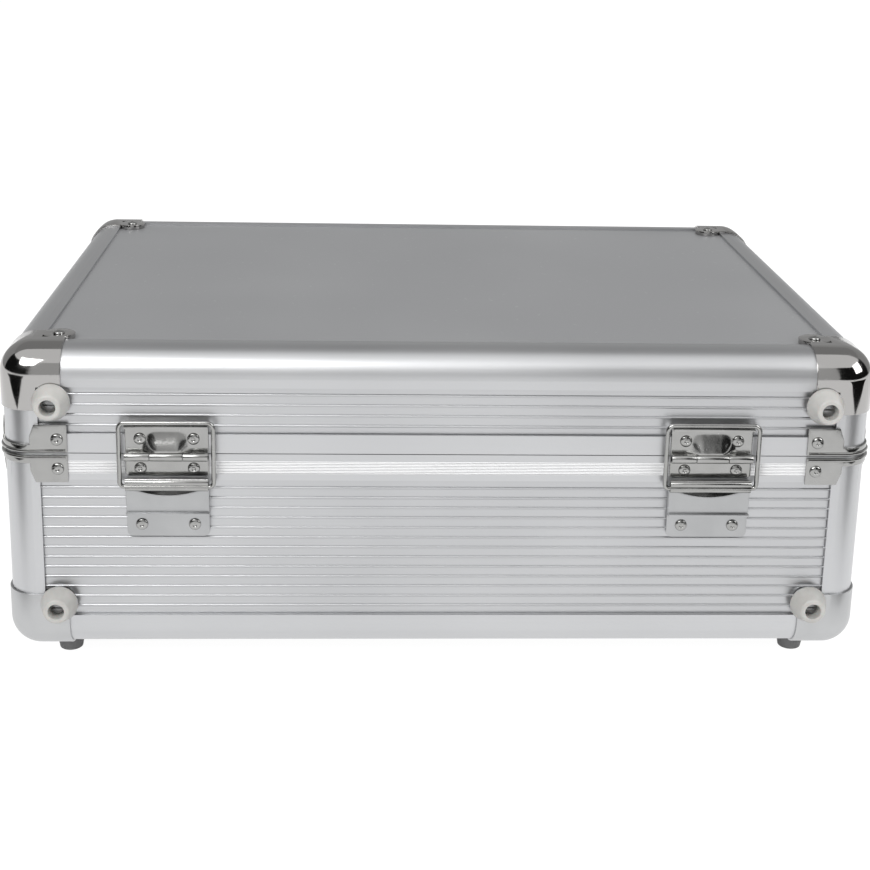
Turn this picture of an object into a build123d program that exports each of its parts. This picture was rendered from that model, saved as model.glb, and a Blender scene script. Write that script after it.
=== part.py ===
from build123d import *
import math
import os

# Tool case: ribbed sheet walls held in rounded edge sections, cast corners, a lid on two take-apart
# hinges with bail clasps, draw latches and a folding handle on the opposite wall.
# Millimetres, +Z up. The hinge wall faces -Y and z = 0 is the underside of the rubber feet.
# x = 0 and y = 0 are halfway between the outermost points.

# Shell
case_w = 457.0
case_d = 330.0
body_h = 111.5
lid_h = 56.0
seam_gap = 0.4

# Edge sections, a quarter round with a slot on each side for the sheets
edge_r = 15.5
edge_face = 20.0
skin = 1.6
sheet_t = 3.0
inner_t = 1.4

# Ribs of the wall sheets
rib_pitch = 5.6
rib_rise = 0.7
low_rib_r = 0.6
low_rib_rise = 0.25

# Rim sections at the seam, with a tongue on the body and a groove in the lid
body_rim_h = 14.5
lid_rim_h = 10.7
rim_web = 1.4
tongue_h = 4.1
tongue_t = 1.4
tongue_in = 3.1
groove_h = 4.4
groove_in = 6.0
saw_w = 0.1
least_r = 0.5

# Corner castings
casting_t = 1.2
casting_arm = 32.5
lug_in = 27.5
lug_r = 8.5

# Seam clips that wrap the corners on each side of the seam
clip_t = 1.2
clip_reach = 34.8
clip_edge = 0.8
clip_band_h = 5.2
clip_lid_h = 16.0
clip_body_h = 15.6
clip_slant_top = 18.0
clip_slant_low = 14.0
clip_rivet_in = 29.6
clip_rivet_h = 8.0

# Rivets and screws
rivet_r = 1.6
rivet_head_r = 3.2
rivet_head_h = 1.2
rivet_grip = 3.4
screw_r = 1.8
screw_head_r = 3.5
screw_head_h = 1.6
screw_slot_w = 0.8

# Feet
foot_h = 11.5
foot_top_r = 8.0
foot_low_r = 6.2
foot_bore_r = 3.9
foot_floor = 3.0
cone_h = 11.0
cone_r = 9.8
cone_tip_r = 6.6
cone_bore_r = 4.2
cone_floor = 4.0
cone_round = 1.6

# Hinges on the front wall and latches on the back wall
clasp_in = 86.0
plate_t = 1.3
plate_w = 43.0
plate_corner_r = 3.0
plate_rivet_x = 13.8
hinge_out = 4.4
pin_r = 1.3
knuckle_r = 2.4
centre_knuckle_w = 16.8
knuckle_web_h = 3.0
running = 0.05
side_gap = 0.3
leaf_rivet_up = 8.8
leaf_rivet_down = 7.4
leaf_low = 11.4
shelf_top = 17.0
shelf_out = 6.2
base_top = 11.7
base_low = 45.4
base_rivet_down = 38.6

# Lever, swivel tube and bail
pivot_out = 5.0
pivot_down = 12.7
pivot_pin_r = 1.0
lug_w = 16.0
pivot_lug_r = 1.8
lever_eye_r = 2.1
eye_down = 16.5
wire_r = 1.2
bail_w = 51.0
bail_bend_r = 3.4
bail_foot_in = 12.0
bar_gap = 0.2
tube_wall = 0.45
tube_eye_wall = 0.7
lever_t = 1.3
lever_out = 2.0
lever_low = 32.4
window_h = 3.6
window_w = 34.0
tab_out = 3.2

# Handle on the back wall
handle_z = 88.0
handle_out = 12.0
handle_drop = 38.0
bracket_x = 64.0
bracket_w = 30.0
bracket_h = 34.0
bracket_t = 2.8
bracket_rivet_z = 11.5
ear_t = 3.0
ear_r = 6.0
handle_pin_r = 2.0
arm_t = 4.0
arm_w = 11.0
grip_r = 10.0
arm_end_r = 8.4

# Foam lining
lining_t = 5.0
lining_gap = 0.3
pad_t = 12.0

# Places worked out from the sizes above
bar_up = shelf_top + bar_gap + wire_r
tube_bore_r = wire_r + running
tube_r = tube_bore_r + tube_wall
tube_eye_r = tube_r + running
tube_eye_outer_r = tube_eye_r + tube_eye_wall
knuckle_inner = centre_knuckle_w / 2
wing_in = lug_w / 2 + side_gap
bail_x = bail_w / 2 - wire_r
clasp_x = case_w / 2 - clasp_in
plate_seat = clip_edge + seam_gap / 2
slot_in = skin + sheet_t
shell_in = slot_in + inner_t
lining_in = shell_in + lining_gap
pad_in = groove_in + inner_t + lining_gap
front_reach = casting_t + cone_h
back_reach = handle_out + grip_r
shell_y = (front_reach - back_reach) / 2
seam_z = foot_h + body_h
top_z = seam_z + lid_h
Z = Vector(0, 0, 1)
centre = Vector(0, shell_y, 0)
normals = {
    "front": Vector(0, -1, 0),
    "back": Vector(0, 1, 0),
    "left": Vector(-1, 0, 0),
    "right": Vector(1, 0, 0),
}
half_depth = {"front": case_d / 2, "back": case_d / 2, "left": case_w / 2, "right": case_w / 2}
half_length = {"front": case_w / 2, "back": case_w / 2, "left": case_d / 2, "right": case_d / 2}
corners = {"fl": (-1, -1), "fr": (1, -1), "bl": (-1, 1), "br": (1, 1)}

os.makedirs("parts", exist_ok=True)


def save(name, part):
    """Label a finished piece and write it under its node name."""
    part.label = name
    export_step(part, f"parts/{name}.step")


def wall_point(side, x, z, out=0.0):
    """Point on a wall: x to the right as seen from outside, at height z, so far out of the outer plane."""
    n = normals[side]
    return centre + n * (half_depth[side] + out) + Z.cross(n) * x + Z * z


def face_plane(side, x, z, out=0.0):
    """Plane on a wall with its normal pointing outwards and y up."""
    n = normals[side]
    return Plane(origin=wall_point(side, x, z, out), x_dir=Z.cross(n), z_dir=n)


def section_plane(side, x, z):
    """Plane across a wall, with x outwards and y up, for profiles that run along the wall."""
    n = normals[side]
    return Plane(origin=wall_point(side, x, z), x_dir=n, z_dir=n.cross(Z))


def floor_plane(x, y, z, facing=1):
    """Level plane at a place, facing up or down."""
    return Plane(origin=(x, y, z), x_dir=(1, 0, 0), z_dir=(0, 0, facing))


def corner_point(sx, sy, inset_x, inset_y, z):
    """Point at a distance from the two outer planes that meet at a corner."""
    return Vector(sx * (case_w / 2 - inset_x), shell_y + sy * (case_d / 2 - inset_y), z)


def wall_lug(side, s, z):
    """Plane at a casting's lug on a wall, at the end that s names."""
    return face_plane(side, s * (half_length[side] - lug_in), z)


def level_lugs(z, facing):
    """Planes at the castings' lugs on the floor or the lid's top."""
    spots = [corner_point(sx, sy, lug_in, lug_in, z) for sx, sy in corners.values()]
    return [floor_plane(p.X, p.Y, p.Z, facing) for p in spots]


def wall_lugs(z, sides):
    """Planes at the castings' lugs on some of the walls, at one height."""
    return [wall_lug(side, s, z) for side in sides for s in (-1, 1)]


def clip_planes(z):
    """Planes at the rivets of the seam clips, two to a corner."""
    ends = [(side, s * (half_length[side] - clip_rivet_in)) for side in normals for s in (-1, 1)]
    return [face_plane(side, x, z) for side, x in ends]


def plate_planes(z, sides=("front", "back")):
    """Planes at the rivets of the plates of the hinges and latches, at one height."""
    xs = [s * clasp_x + t * plate_rivet_x for s in (-1, 1) for t in (-1, 1)]
    return [face_plane(side, x, z) for side in sides for x in xs]


def bracket_planes():
    """Planes at the rivets of the handle brackets, two to a bracket."""
    spots = [(s * bracket_x, handle_z + t * bracket_rivet_z) for s in (-1, 1) for t in (-1, 1)]
    return [face_plane("back", x, z) for x, z in spots]


plain_sides = ("back", "left", "right")
cones_body = wall_lugs(foot_h + lug_in, ("front",))
cones_lid = wall_lugs(top_z - lug_in, ("front",))
feet_planes = level_lugs(foot_h, -1)
casting_rivets_body = wall_lugs(foot_h + lug_in, plain_sides)
casting_rivets_lid = wall_lugs(top_z - lug_in, plain_sides) + level_lugs(top_z, 1)
clip_rivets_body = clip_planes(seam_z - clip_rivet_h)
clip_rivets_lid = clip_planes(seam_z + clip_rivet_h)
leaf_rivets_body = plate_planes(seam_z - leaf_rivet_down, ("front",))
plate_rivets_body = leaf_rivets_body + plate_planes(seam_z - base_rivet_down)
plate_rivets_lid = plate_planes(seam_z + leaf_rivet_up)
bracket_rivets = bracket_planes()


def drill(places, radius):
    """Cut holes for shanks through everything within their grip of an outer plane."""
    with BuildSketch(*[place.offset(plate_t + bracket_t) for place in places]) as holes:
        Circle(radius)
    extrude(holes.sketch, amount=-(plate_t + bracket_t + rivet_grip), mode=Mode.SUBTRACT)


def drill_body():
    """Holes of every rivet and foot screw of the body."""
    drill(casting_rivets_body + clip_rivets_body + plate_rivets_body + bracket_rivets, rivet_r)
    drill(cones_body + feet_planes, screw_r)


def drill_lid():
    """Holes of every rivet and foot screw of the lid."""
    drill(casting_rivets_lid + clip_rivets_lid + plate_rivets_lid, rivet_r)
    drill(cones_lid, screw_r)


def drill_half(in_body):
    """Holes of the half of the case that a piece belongs to."""
    if in_body:
        drill_body()
    else:
        drill_lid()


def quarter_face(inset, mode=Mode.ADD):
    """Square with one rounded corner at the origin, set in from both outer planes."""
    low = edge_r - (edge_r - inset) * math.cos(math.pi / 4)
    with BuildLine() as outline:
        Polyline((inset, edge_r), (inset, edge_face), (edge_face, edge_face), (edge_face, inset))
        Line((edge_face, inset), (edge_r, inset))
        ThreePointArc((edge_r, inset), (low, low), (inset, edge_r))
    make_face(outline.edges(), mode=mode)


def edge_profile():
    """Hollow quarter-round section: x and y run inwards from the two outer planes."""
    quarter_face(0)
    quarter_face(skin, Mode.SUBTRACT)
    reach = edge_face - slot_in
    with Locations((slot_in, slot_in)):
        Rectangle(inner_t, reach, align=(Align.MIN, Align.MIN))
        Rectangle(reach, inner_t, align=(Align.MIN, Align.MIN))
    with Locations((0, edge_r - inner_t)):
        Rectangle(shell_in, inner_t, align=(Align.MIN, Align.MIN))
    with Locations((edge_r - inner_t, 0)):
        Rectangle(inner_t, shell_in, align=(Align.MIN, Align.MIN))
    quarter_face(0, Mode.INTERSECT)


def edge_frame(z, up, rim_z):
    """Edge sections of one half: four level bars at the floor or top and four posts up to the rim."""
    post_end = z + up * edge_face
    with BuildPart() as frame:
        for side, n in normals.items():
            with BuildSketch(Plane(origin=wall_point(side, 0, z), x_dir=-n, z_dir=(-n).cross(Z * up))):
                edge_profile()
            extrude(amount=half_length[side] - edge_face, both=True)
        for sx, sy in corners.values():
            middle = corner_point(sx, sy, 0, 0, (post_end + rim_z) / 2)
            with BuildSketch(Plane(origin=middle, x_dir=(-sx, 0, 0), z_dir=(0, 0, sx * sy))):
                edge_profile()
            extrude(amount=abs(rim_z - post_end) / 2, both=True)
        drill_half(up > 0)
    return frame.part


def ring(inset, thickness):
    """Rounded frame outline, set in from the outer planes."""
    for depth, mode in ((inset, Mode.ADD), (inset + thickness, Mode.SUBTRACT)):
        RectangleRounded(case_w - 2 * depth, case_d - 2 * depth, max(edge_r - depth, least_r), mode=mode)


def rim_layer(low, high, inset, thickness):
    """One upright wall or level web of a rim section, between two heights."""
    with BuildSketch(floor_plane(0, shell_y, low)) as layer:
        ring(inset, thickness)
    extrude(layer.sketch, amount=high - low)


def mitre(reach=body_rim_h + lid_rim_h):
    """Saw cuts that part a frame into four lengths at its corners, this far above and below the seam."""
    for sx, sy in corners.values():
        corner = corner_point(sx, sy, edge_r / 2, edge_r / 2, seam_z)
        with BuildSketch(Plane(origin=corner, x_dir=(sx, sy, 0), z_dir=(0, 0, 1))) as cut:
            Rectangle(2 * edge_face, saw_w)
        extrude(cut.sketch, amount=reach, both=True, mode=Mode.SUBTRACT)


def body_rim():
    """Rim of the body: slot for the wall sheets below, tongue above."""
    low = seam_z - body_rim_h
    with BuildPart() as rim:
        rim_layer(low, seam_z, 0, skin)
        rim_layer(seam_z - rim_web, seam_z, 0, shell_in)
        rim_layer(low, seam_z, slot_in, inner_t)
        rim_layer(seam_z - rim_web, seam_z + tongue_h, tongue_in, tongue_t)
        mitre()
        drill_body()
    return rim.part


def lid_rim():
    """Rim of the lid: groove below for the body's tongue, slot for the wall sheets above."""
    low = seam_z + seam_gap
    web = seam_z + groove_h
    high = seam_z + lid_rim_h
    with BuildPart() as rim:
        rim_layer(low, high, 0, skin)
        rim_layer(web, web + rim_web, 0, groove_in + inner_t)
        rim_layer(low, web + rim_web, groove_in, inner_t)
        rim_layer(web, high, slot_in, inner_t)
        mitre()
        drill_lid()
    return rim.part


def wall_sheet(side, low, high, bare_low, bare_high):
    """Ribbed wall sheet, plain where its edges sit in the slots."""
    base = -(skin + rib_rise)
    count = int((bare_high - bare_low) / rib_pitch)
    first = (bare_low + bare_high - (count - 1) * rib_pitch) / 2
    heights = [first + k * rib_pitch for k in range(count)]
    corner = (Align.MIN, Align.MIN)
    with BuildPart() as sheet:
        with BuildSketch(section_plane(side, 0, 0)):
            with Locations((-slot_in, low)):
                Rectangle(slot_in + base, high - low, align=corner)
                Rectangle(sheet_t, bare_low - low, align=corner)
            with Locations((-slot_in, bare_high)):
                Rectangle(sheet_t, high - bare_high, align=corner)
            with Locations(*[(base, y) for y in heights]):
                Circle(rib_rise)
            with Locations(*[(base - low_rib_r + low_rib_rise, y + rib_pitch / 2) for y in heights[:-1]]):
                Circle(low_rib_r)
        extrude(amount=half_length[side] - edge_r, both=True)
        drill_half(low < seam_z)
    return sheet.part


def level_sheet(z, up):
    """Plain sheet of the floor or the lid's top, held in the slots of the edge sections."""
    with BuildPart() as sheet:
        with BuildSketch(floor_plane(0, shell_y, z + up * skin, up)):
            Rectangle(case_w - 2 * edge_r, case_d - 2 * edge_r)
        extrude(amount=sheet_t)
        drill_half(up > 0)
    return sheet.part


def rounded_block(inset, size):
    """Block with its corner at the outer planes' meeting point and the three edges there rounded."""
    with BuildPart() as block:
        with Locations((inset, inset, inset)):
            Box(size, size, size, align=(Align.MIN, Align.MIN, Align.MIN))
        fillet(block.edges().sort_by_distance((inset, inset, inset))[:3], edge_r - inset)
    return block.part


def casting_mask():
    """Space that the casting's skin takes: three arms and a round lug on each face."""
    far = casting_arm + casting_t
    wide = edge_face + casting_t
    with BuildPart() as mask:
        with Locations((-casting_t, -casting_t, -casting_t)):
            for size in ((far, wide, wide), (wide, far, wide), (wide, wide, far)):
                Box(*size, align=(Align.MIN, Align.MIN, Align.MIN))
        with BuildSketch(*[plane.offset(-casting_t) for plane in (Plane.XY, Plane.YZ, Plane.ZX)]):
            with Locations((lug_in, lug_in)):
                Circle(lug_r)
        extrude(amount=casting_t)
    return mask.part


def casting_plug():
    """Inside of the casting: three plates between the ends of the edge sections, clear of the sheets."""
    notch = edge_face - edge_r
    corner = (Align.MIN, Align.MIN, Align.MIN)
    with BuildPart() as plug:
        add(rounded_block(0, 2 * casting_arm))
        Box(edge_face, edge_face, edge_face, align=corner, mode=Mode.INTERSECT)
        with Locations((shell_in, shell_in, shell_in)):
            Box(edge_face, edge_face, edge_face, align=corner, mode=Mode.SUBTRACT)
        with Locations((edge_r, edge_r, skin)):
            Box(notch, notch, sheet_t, align=corner, mode=Mode.SUBTRACT)
        with Locations((edge_r, skin, edge_r)):
            Box(notch, sheet_t, notch, align=corner, mode=Mode.SUBTRACT)
        with Locations((skin, edge_r, edge_r)):
            Box(sheet_t, notch, notch, align=corner, mode=Mode.SUBTRACT)
    return plug.part


def corner_casting():
    """Ball corner: a skin over the ends of three edge sections, plates between them, seats at the lugs."""
    size = 2 * casting_arm
    outer = rounded_block(-casting_t, size)
    shell = rounded_block(0, size)
    mask = casting_mask()
    plug = casting_plug()
    with BuildPart() as casting:
        add(outer)
        add(shell, mode=Mode.SUBTRACT)
        add(mask, mode=Mode.INTERSECT)
        add(plug)
        with BuildSketch(Plane.XY, Plane.YZ, Plane.ZX):
            with Locations((lug_in, lug_in)):
                Circle(lug_r)
            with Locations((edge_face, edge_face)):
                Rectangle(2 * lug_r, 2 * lug_r, align=(Align.MIN, Align.MIN), mode=Mode.INTERSECT)
        extrude(amount=skin)
    return casting.part


def seam_clip(height):
    """Band that wraps a corner beside the seam, with a plate that rises on each wall for its rivet."""
    outer = edge_r - (edge_r + clip_t) * math.cos(math.pi / 4)
    inner = edge_r - edge_r * math.cos(math.pi / 4)
    low, high = clip_band_h, height + 1
    slope = (clip_slant_top - clip_slant_low) / (height - clip_band_h)
    with BuildPart() as clip:
        with BuildSketch(Plane.XY.offset(clip_edge)):
            with BuildLine():
                Polyline((edge_r, 0), (clip_reach, 0), (clip_reach, -clip_t), (edge_r, -clip_t))
                ThreePointArc((edge_r, -clip_t), (outer, outer), (-clip_t, edge_r))
                Polyline((-clip_t, edge_r), (-clip_t, clip_reach), (0, clip_reach), (0, edge_r))
                ThreePointArc((0, edge_r), (inner, inner), (edge_r, 0))
            make_face()
        extrude(amount=height - clip_edge)
        front = Plane(origin=(0, edge_r, 0), x_dir=(1, 0, 0), z_dir=(0, -1, 0))
        side = Plane(origin=(-2 * clip_t, 0, 0), x_dir=(0, 1, 0), z_dir=(1, 0, 0))
        with BuildSketch(front, side):
            with BuildLine():
                Polyline(
                    (-2 * clip_t, low),
                    (clip_slant_low, low),
                    (clip_slant_top + slope, high),
                    (-2 * clip_t, high),
                    close=True,
                )
            make_face()
        extrude(amount=edge_r + 2 * clip_t, mode=Mode.SUBTRACT)
    return clip.part


def at_corner(piece, sx, sy, z, up):
    """Copy of a corner piece, turned to face its corner and set at its height."""
    for sign, plane in ((sx, Plane.YZ), (sy, Plane.XZ), (-up, Plane.XY)):
        if sign > 0:
            piece = mirror(piece, about=plane)
    return Location(corner_point(sx, sy, 0, 0, z)) * piece


def at_corners(piece, z, up, in_body):
    """One placed and drilled copy of a corner piece for each corner."""
    placed = {}
    for key, (sx, sy) in corners.items():
        copy = at_corner(piece, sx, sy, z, up)
        with BuildPart() as one:
            add(copy)
            drill_half(in_body)
        placed[key] = one.part
    return placed


def group(pieces):
    """Separate solids kept together as one node."""
    with BuildPart() as together:
        for piece in pieces:
            add(piece)
    return together.part


def rivets(seats):
    """Domed rivets: places on an outer plane, each with the thickness that its head sits on."""
    dome_r = (rivet_head_r**2 + rivet_head_h**2) / (2 * rivet_head_h)
    with BuildPart() as row:
        for places, seat in seats:
            with BuildSketch(*[place.offset(-rivet_grip) for place in places]):
                Circle(rivet_r)
            extrude(amount=rivet_grip + seat)
            for place in places:
                axis = Axis(place.origin, place.z_dir)
                with BuildSketch(Plane(origin=place.origin, x_dir=place.x_dir, z_dir=-place.y_dir)):
                    with BuildLine():
                        Polyline((0, seat + rivet_head_h), (0, seat), (rivet_head_r, seat))
                        RadiusArc((rivet_head_r, seat), (0, seat + rivet_head_h), -dome_r)
                    make_face()
                revolve(axis=axis)
    return row.part


def screws(seats):
    """Slotted pan-head screws: places on an outer plane, each with the height that its head sits at."""
    with BuildPart() as row:
        for places, seat in seats:
            with BuildSketch(*[place.offset(-rivet_grip) for place in places]):
                Circle(screw_r)
            extrude(amount=rivet_grip + seat)
            with BuildSketch(*[place.offset(seat) for place in places]):
                Circle(screw_head_r)
            extrude(amount=screw_head_h)
            with BuildSketch(*[place.offset(seat + screw_head_h) for place in places]):
                Rectangle(2 * screw_head_r, screw_slot_w)
            extrude(amount=-screw_head_h / 2, mode=Mode.SUBTRACT)
    return row.part


def turned(places, points):
    """Pieces turned about the outward line through each place, from one outline of radius and height."""
    with BuildPart() as row:
        for place in places:
            with BuildSketch(Plane(origin=place.origin, x_dir=place.x_dir, z_dir=-place.y_dir)):
                with BuildLine():
                    Polyline(*points, close=True)
                make_face()
            revolve(axis=Axis(place.origin, place.z_dir))
    return row.part


def rubber_feet():
    """Tapered rubber feet under the castings, each with a recess for its screw."""
    seat = casting_t
    return turned(
        feet_planes,
        [
            (screw_r, seat),
            (foot_top_r, seat),
            (foot_low_r, foot_h),
            (foot_bore_r, foot_h),
            (foot_bore_r, seat + foot_floor),
            (screw_r, seat + foot_floor),
        ],
    )


def cone_feet(places):
    """Pale plastic cones on the hinge wall, each with a deep recess for its screw."""
    seat = casting_t
    tip = seat + cone_h
    with BuildPart() as feet:
        add(
            turned(
                places,
                [
                    (screw_r, seat),
                    (cone_r, seat),
                    (cone_r, seat + cone_round),
                    (cone_tip_r, tip),
                    (cone_bore_r, tip),
                    (cone_bore_r, seat + cone_floor),
                    (screw_r, seat + cone_floor),
                ],
            )
        )
        rings = feet.edges().filter_by(GeomType.CIRCLE)
        rims = [e for e in rings if math.isclose(e.radius, cone_tip_r, abs_tol=1e-3)]
        fillet(rims, cone_round)
    return feet.part


def wall_plate(side, x, low, high):
    """Flat plate on a wall, with rounded corners, in the enclosing part."""
    with BuildSketch(face_plane(side, x, (low + high) / 2)) as outline:
        RectangleRounded(plate_w, high - low, plate_corner_r)
    extrude(outline.sketch, amount=plate_t)


def lengthwise(side, x, half, points=None, circle=None, mode=Mode.ADD):
    """Bar along a wall from an outline or a circle, x outwards and y up from the seam."""
    with BuildSketch(section_plane(side, x, seam_z)) as profile:
        if circle:
            with Locations(circle[:2]):
                Circle(circle[2])
        else:
            with BuildLine():
                Polyline(*points, close=True)
            make_face()
    extrude(profile.sketch, amount=half, both=True, mode=mode)


def keeper_shelf(side, x):
    """Flange that the bail's bar rests on, turned out from the top of a plate."""
    under = shelf_top - plate_t
    points = [(0, under), (shelf_out, under), (shelf_out, shelf_top), (0, shelf_top)]
    lengthwise(side, x, plate_w / 2, points)


def upper_leaf(x):
    """Hinge leaf on the lid: plate, bail shelf and the centre knuckle."""
    knuckle = (hinge_out, 0, knuckle_r)
    web = [
        (0, plate_seat),
        (0, knuckle_web_h),
        (plate_t, knuckle_web_h),
        (hinge_out, knuckle_r),
        (hinge_out - knuckle_r, 0),
    ]
    with BuildPart() as leaf:
        wall_plate("front", x, seam_z + plate_seat, seam_z + shelf_top)
        keeper_shelf("front", x)
        lengthwise("front", x, knuckle_inner, web)
        lengthwise("front", x, knuckle_inner, circle=knuckle)
        lengthwise("front", x, plate_w, circle=(hinge_out, 0, pin_r + running), mode=Mode.SUBTRACT)
        drill_lid()
    return leaf.part


def lower_leaf(x):
    """Hinge leaf on the body: plate and the two side knuckles, bored to hold the pin."""
    half = (plate_w / 2 - knuckle_inner - side_gap) / 2
    web = [
        (0, -plate_seat),
        (0, -knuckle_web_h),
        (plate_t, -knuckle_web_h),
        (hinge_out, -knuckle_r),
        (hinge_out - knuckle_r, 0),
    ]
    with BuildPart() as leaf:
        wall_plate("front", x, seam_z - leaf_low, seam_z - plate_seat)
        for s in (-1, 1):
            spot = x + s * (plate_w / 2 - half)
            lengthwise("front", spot, half, web)
            lengthwise("front", spot, half, circle=(hinge_out, 0, knuckle_r))
        lengthwise("front", x, plate_w, circle=(hinge_out, 0, pin_r), mode=Mode.SUBTRACT)
        drill_body()
    return leaf.part


def cross_pin(side, x, out, up, radius):
    """Round pin along a wall, as long as the plates are wide."""
    with BuildPart() as pin:
        lengthwise(side, x, plate_w / 2, circle=(out, up, radius))
    return pin.part


def keeper(x):
    """Plate on the lid's back wall with the shelf for a latch's bail."""
    with BuildPart() as plate:
        wall_plate("back", x, seam_z + plate_seat, seam_z + shelf_top)
        keeper_shelf("back", x)
        drill_lid()
    return plate.part


def clasp_base(side, x):
    """Base plate of a clasp: flat over the rim, packed out over the ribs, with the lug for the pin."""
    rib_line = -(body_rim_h + side_gap)
    lug = [
        (0, -base_top),
        (0, -pivot_down - pivot_lug_r),
        (pivot_out, -pivot_down - pivot_lug_r),
        (pivot_out, -pivot_down + pivot_lug_r),
        (plate_t, -base_top),
    ]
    with BuildPart() as base:
        wall_plate(side, x, seam_z - base_low, seam_z - base_top)
        lengthwise(side, x, lug_w / 2, lug)
        lengthwise(side, x, lug_w / 2, circle=(pivot_out, -pivot_down, pivot_lug_r))
        lengthwise(side, x, plate_w, circle=(pivot_out, -pivot_down, pivot_pin_r), mode=Mode.SUBTRACT)
        with BuildSketch(face_plane(side, x, seam_z + (rib_line - base_low) / 2, -skin)):
            RectangleRounded(plate_w, base_low + rib_line, plate_corner_r)
        extrude(amount=skin)
        drill_body()
    return base.part


def clasp_lever(side, x):
    """Lever: two eyes on the pin, the eye of the swivel tube, a plate with a curved window and a lip."""
    half = (plate_w / 2 - wing_in) / 2
    link = [
        (pivot_out - lever_eye_r, -pivot_down),
        (hinge_out - tube_eye_outer_r, -eye_down),
        (hinge_out + tube_eye_outer_r, -eye_down),
        (pivot_out + lever_eye_r, -pivot_down),
    ]
    blade = [
        (lever_out, -eye_down),
        (lever_out, -lever_low),
        (lever_out + tab_out, -lever_low),
        (lever_out + tab_out, -lever_low + lever_t),
        (lever_out + lever_t, -lever_low + lever_t),
        (lever_out + lever_t, -eye_down),
    ]
    window_top = -(eye_down + tube_eye_outer_r)
    with BuildPart() as lever:
        for s in (-1, 1):
            spot = x + s * (plate_w / 2 - half)
            lengthwise(side, spot, half, link)
            lengthwise(side, spot, half, circle=(pivot_out, -pivot_down, lever_eye_r))
            lengthwise(side, spot, half, circle=(hinge_out, -eye_down, tube_eye_outer_r))
        lengthwise(side, x, plate_w / 2, blade)
        pin_hole = (pivot_out, -pivot_down, pivot_pin_r + running)
        lengthwise(side, x, plate_w, circle=pin_hole, mode=Mode.SUBTRACT)
        lengthwise(side, x, plate_w, circle=(hinge_out, -eye_down, tube_eye_r), mode=Mode.SUBTRACT)
        with BuildSketch(face_plane(side, x, seam_z + window_top)):
            with BuildLine():
                Line((-window_w / 2, 0), (window_w / 2, 0))
                ThreePointArc((window_w / 2, 0), (0, -window_h), (-window_w / 2, 0))
            make_face()
        extrude(amount=2 * hinge_out, mode=Mode.SUBTRACT)
    return lever.part


def swivel_tube(side, x):
    """Tube that turns in the lever's eye and carries the feet of the bail."""
    with BuildPart() as tube:
        lengthwise(side, x, plate_w / 2, circle=(hinge_out, -eye_down, tube_r))
        lengthwise(side, x, plate_w, circle=(hinge_out, -eye_down, tube_bore_r), mode=Mode.SUBTRACT)
    return tube.part


def bail(side, x):
    """Wire loop from the lever's eye round the keeper's shelf, bent from one length."""
    face = face_plane(side, x, seam_z, hinge_out)
    foot_bend = bail_x - plate_w / 2 - side_gap
    with BuildPart() as loop:
        with BuildLine(face) as path:
            FilletPolyline(
                (-bail_foot_in, -eye_down),
                (-bail_x, -eye_down),
                (-bail_x, bar_up),
                (bail_x, bar_up),
                (bail_x, -eye_down),
                (bail_foot_in, -eye_down),
                radius=[foot_bend, bail_bend_r, bail_bend_r, foot_bend],
            )
        with BuildSketch(Plane(origin=path.line @ 0, z_dir=path.line % 0)):
            Circle(wire_r)
        sweep()
    return loop.part


def handle_brackets():
    """Two brackets on the back wall, each a plate with a pair of ears."""
    ear_mid = arm_t / 2 + side_gap + ear_t / 2
    with BuildPart() as pair:
        for s in (-1, 1):
            with BuildSketch(face_plane("back", s * bracket_x, handle_z, -skin)):
                RectangleRounded(bracket_w, bracket_h, plate_corner_r)
            extrude(amount=bracket_t)
            for t in (-1, 1):
                with BuildSketch(section_plane("back", s * bracket_x + t * ear_mid, handle_z)):
                    with Locations((handle_out, 0)):
                        Circle(ear_r)
                    with Locations((-skin, 0)):
                        Rectangle(handle_out + skin, 2 * ear_r, align=(Align.MIN, Align.CENTER))
                    with Locations((handle_out, 0)):
                        Circle(handle_pin_r, mode=Mode.SUBTRACT)
                extrude(amount=ear_t / 2, both=True)
        drill_body()
    return pair.part


def handle_pins():
    """Pins through the ears of the brackets."""
    half = arm_t / 2 + side_gap + ear_t
    with BuildPart() as pins:
        for s in (-1, 1):
            with BuildSketch(section_plane("back", s * bracket_x, handle_z)):
                with Locations((handle_out, 0)):
                    Circle(handle_pin_r)
            extrude(amount=half, both=True)
    return pins.part


def handle_arms():
    """Flat arms from the pins to the ends of the grip."""
    with BuildPart() as arms:
        for s in (-1, 1):
            with BuildSketch(section_plane("back", s * bracket_x, handle_z)):
                with Locations((handle_out, -handle_drop / 2)):
                    Rectangle(arm_w, handle_drop)
                with Locations((handle_out, 0)):
                    Circle(arm_w / 2)
                with Locations((handle_out, -handle_drop)):
                    Circle(arm_end_r)
                with Locations((handle_out, 0)):
                    Circle(handle_pin_r + running, mode=Mode.SUBTRACT)
            extrude(amount=arm_t / 2, both=True)
    return arms.part


def handle_grip():
    """Round grip between the arms."""
    with BuildPart() as grip:
        with BuildSketch(section_plane("back", 0, handle_z)):
            with Locations((handle_out, -handle_drop)):
                Circle(grip_r)
        extrude(amount=bracket_x - arm_t / 2, both=True)
    return grip.part


def level_pad(inset, low, high):
    """Level foam pad, set in from the outer planes and rounded to clear the castings."""
    with BuildPart() as pad:
        with BuildSketch(floor_plane(0, shell_y, low)):
            RectangleRounded(case_w - 2 * inset, case_d - 2 * inset, edge_r - inset)
        extrude(amount=high - low)
    return pad.part


def wall_pads():
    """Foam strip round the walls of the body, standing on the floor pad and parted at its corners."""
    low = foot_h + lining_in + lining_t
    with BuildPart() as pads:
        rim_layer(low, seam_z - lining_gap, lining_in, lining_t)
        mitre(body_h)
    return pads.part


floor_slot = foot_h + edge_r
roof_slot = top_z - edge_r
body_rim_low = seam_z - body_rim_h
lid_rim_high = seam_z + lid_rim_h
casting = corner_casting()

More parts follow.
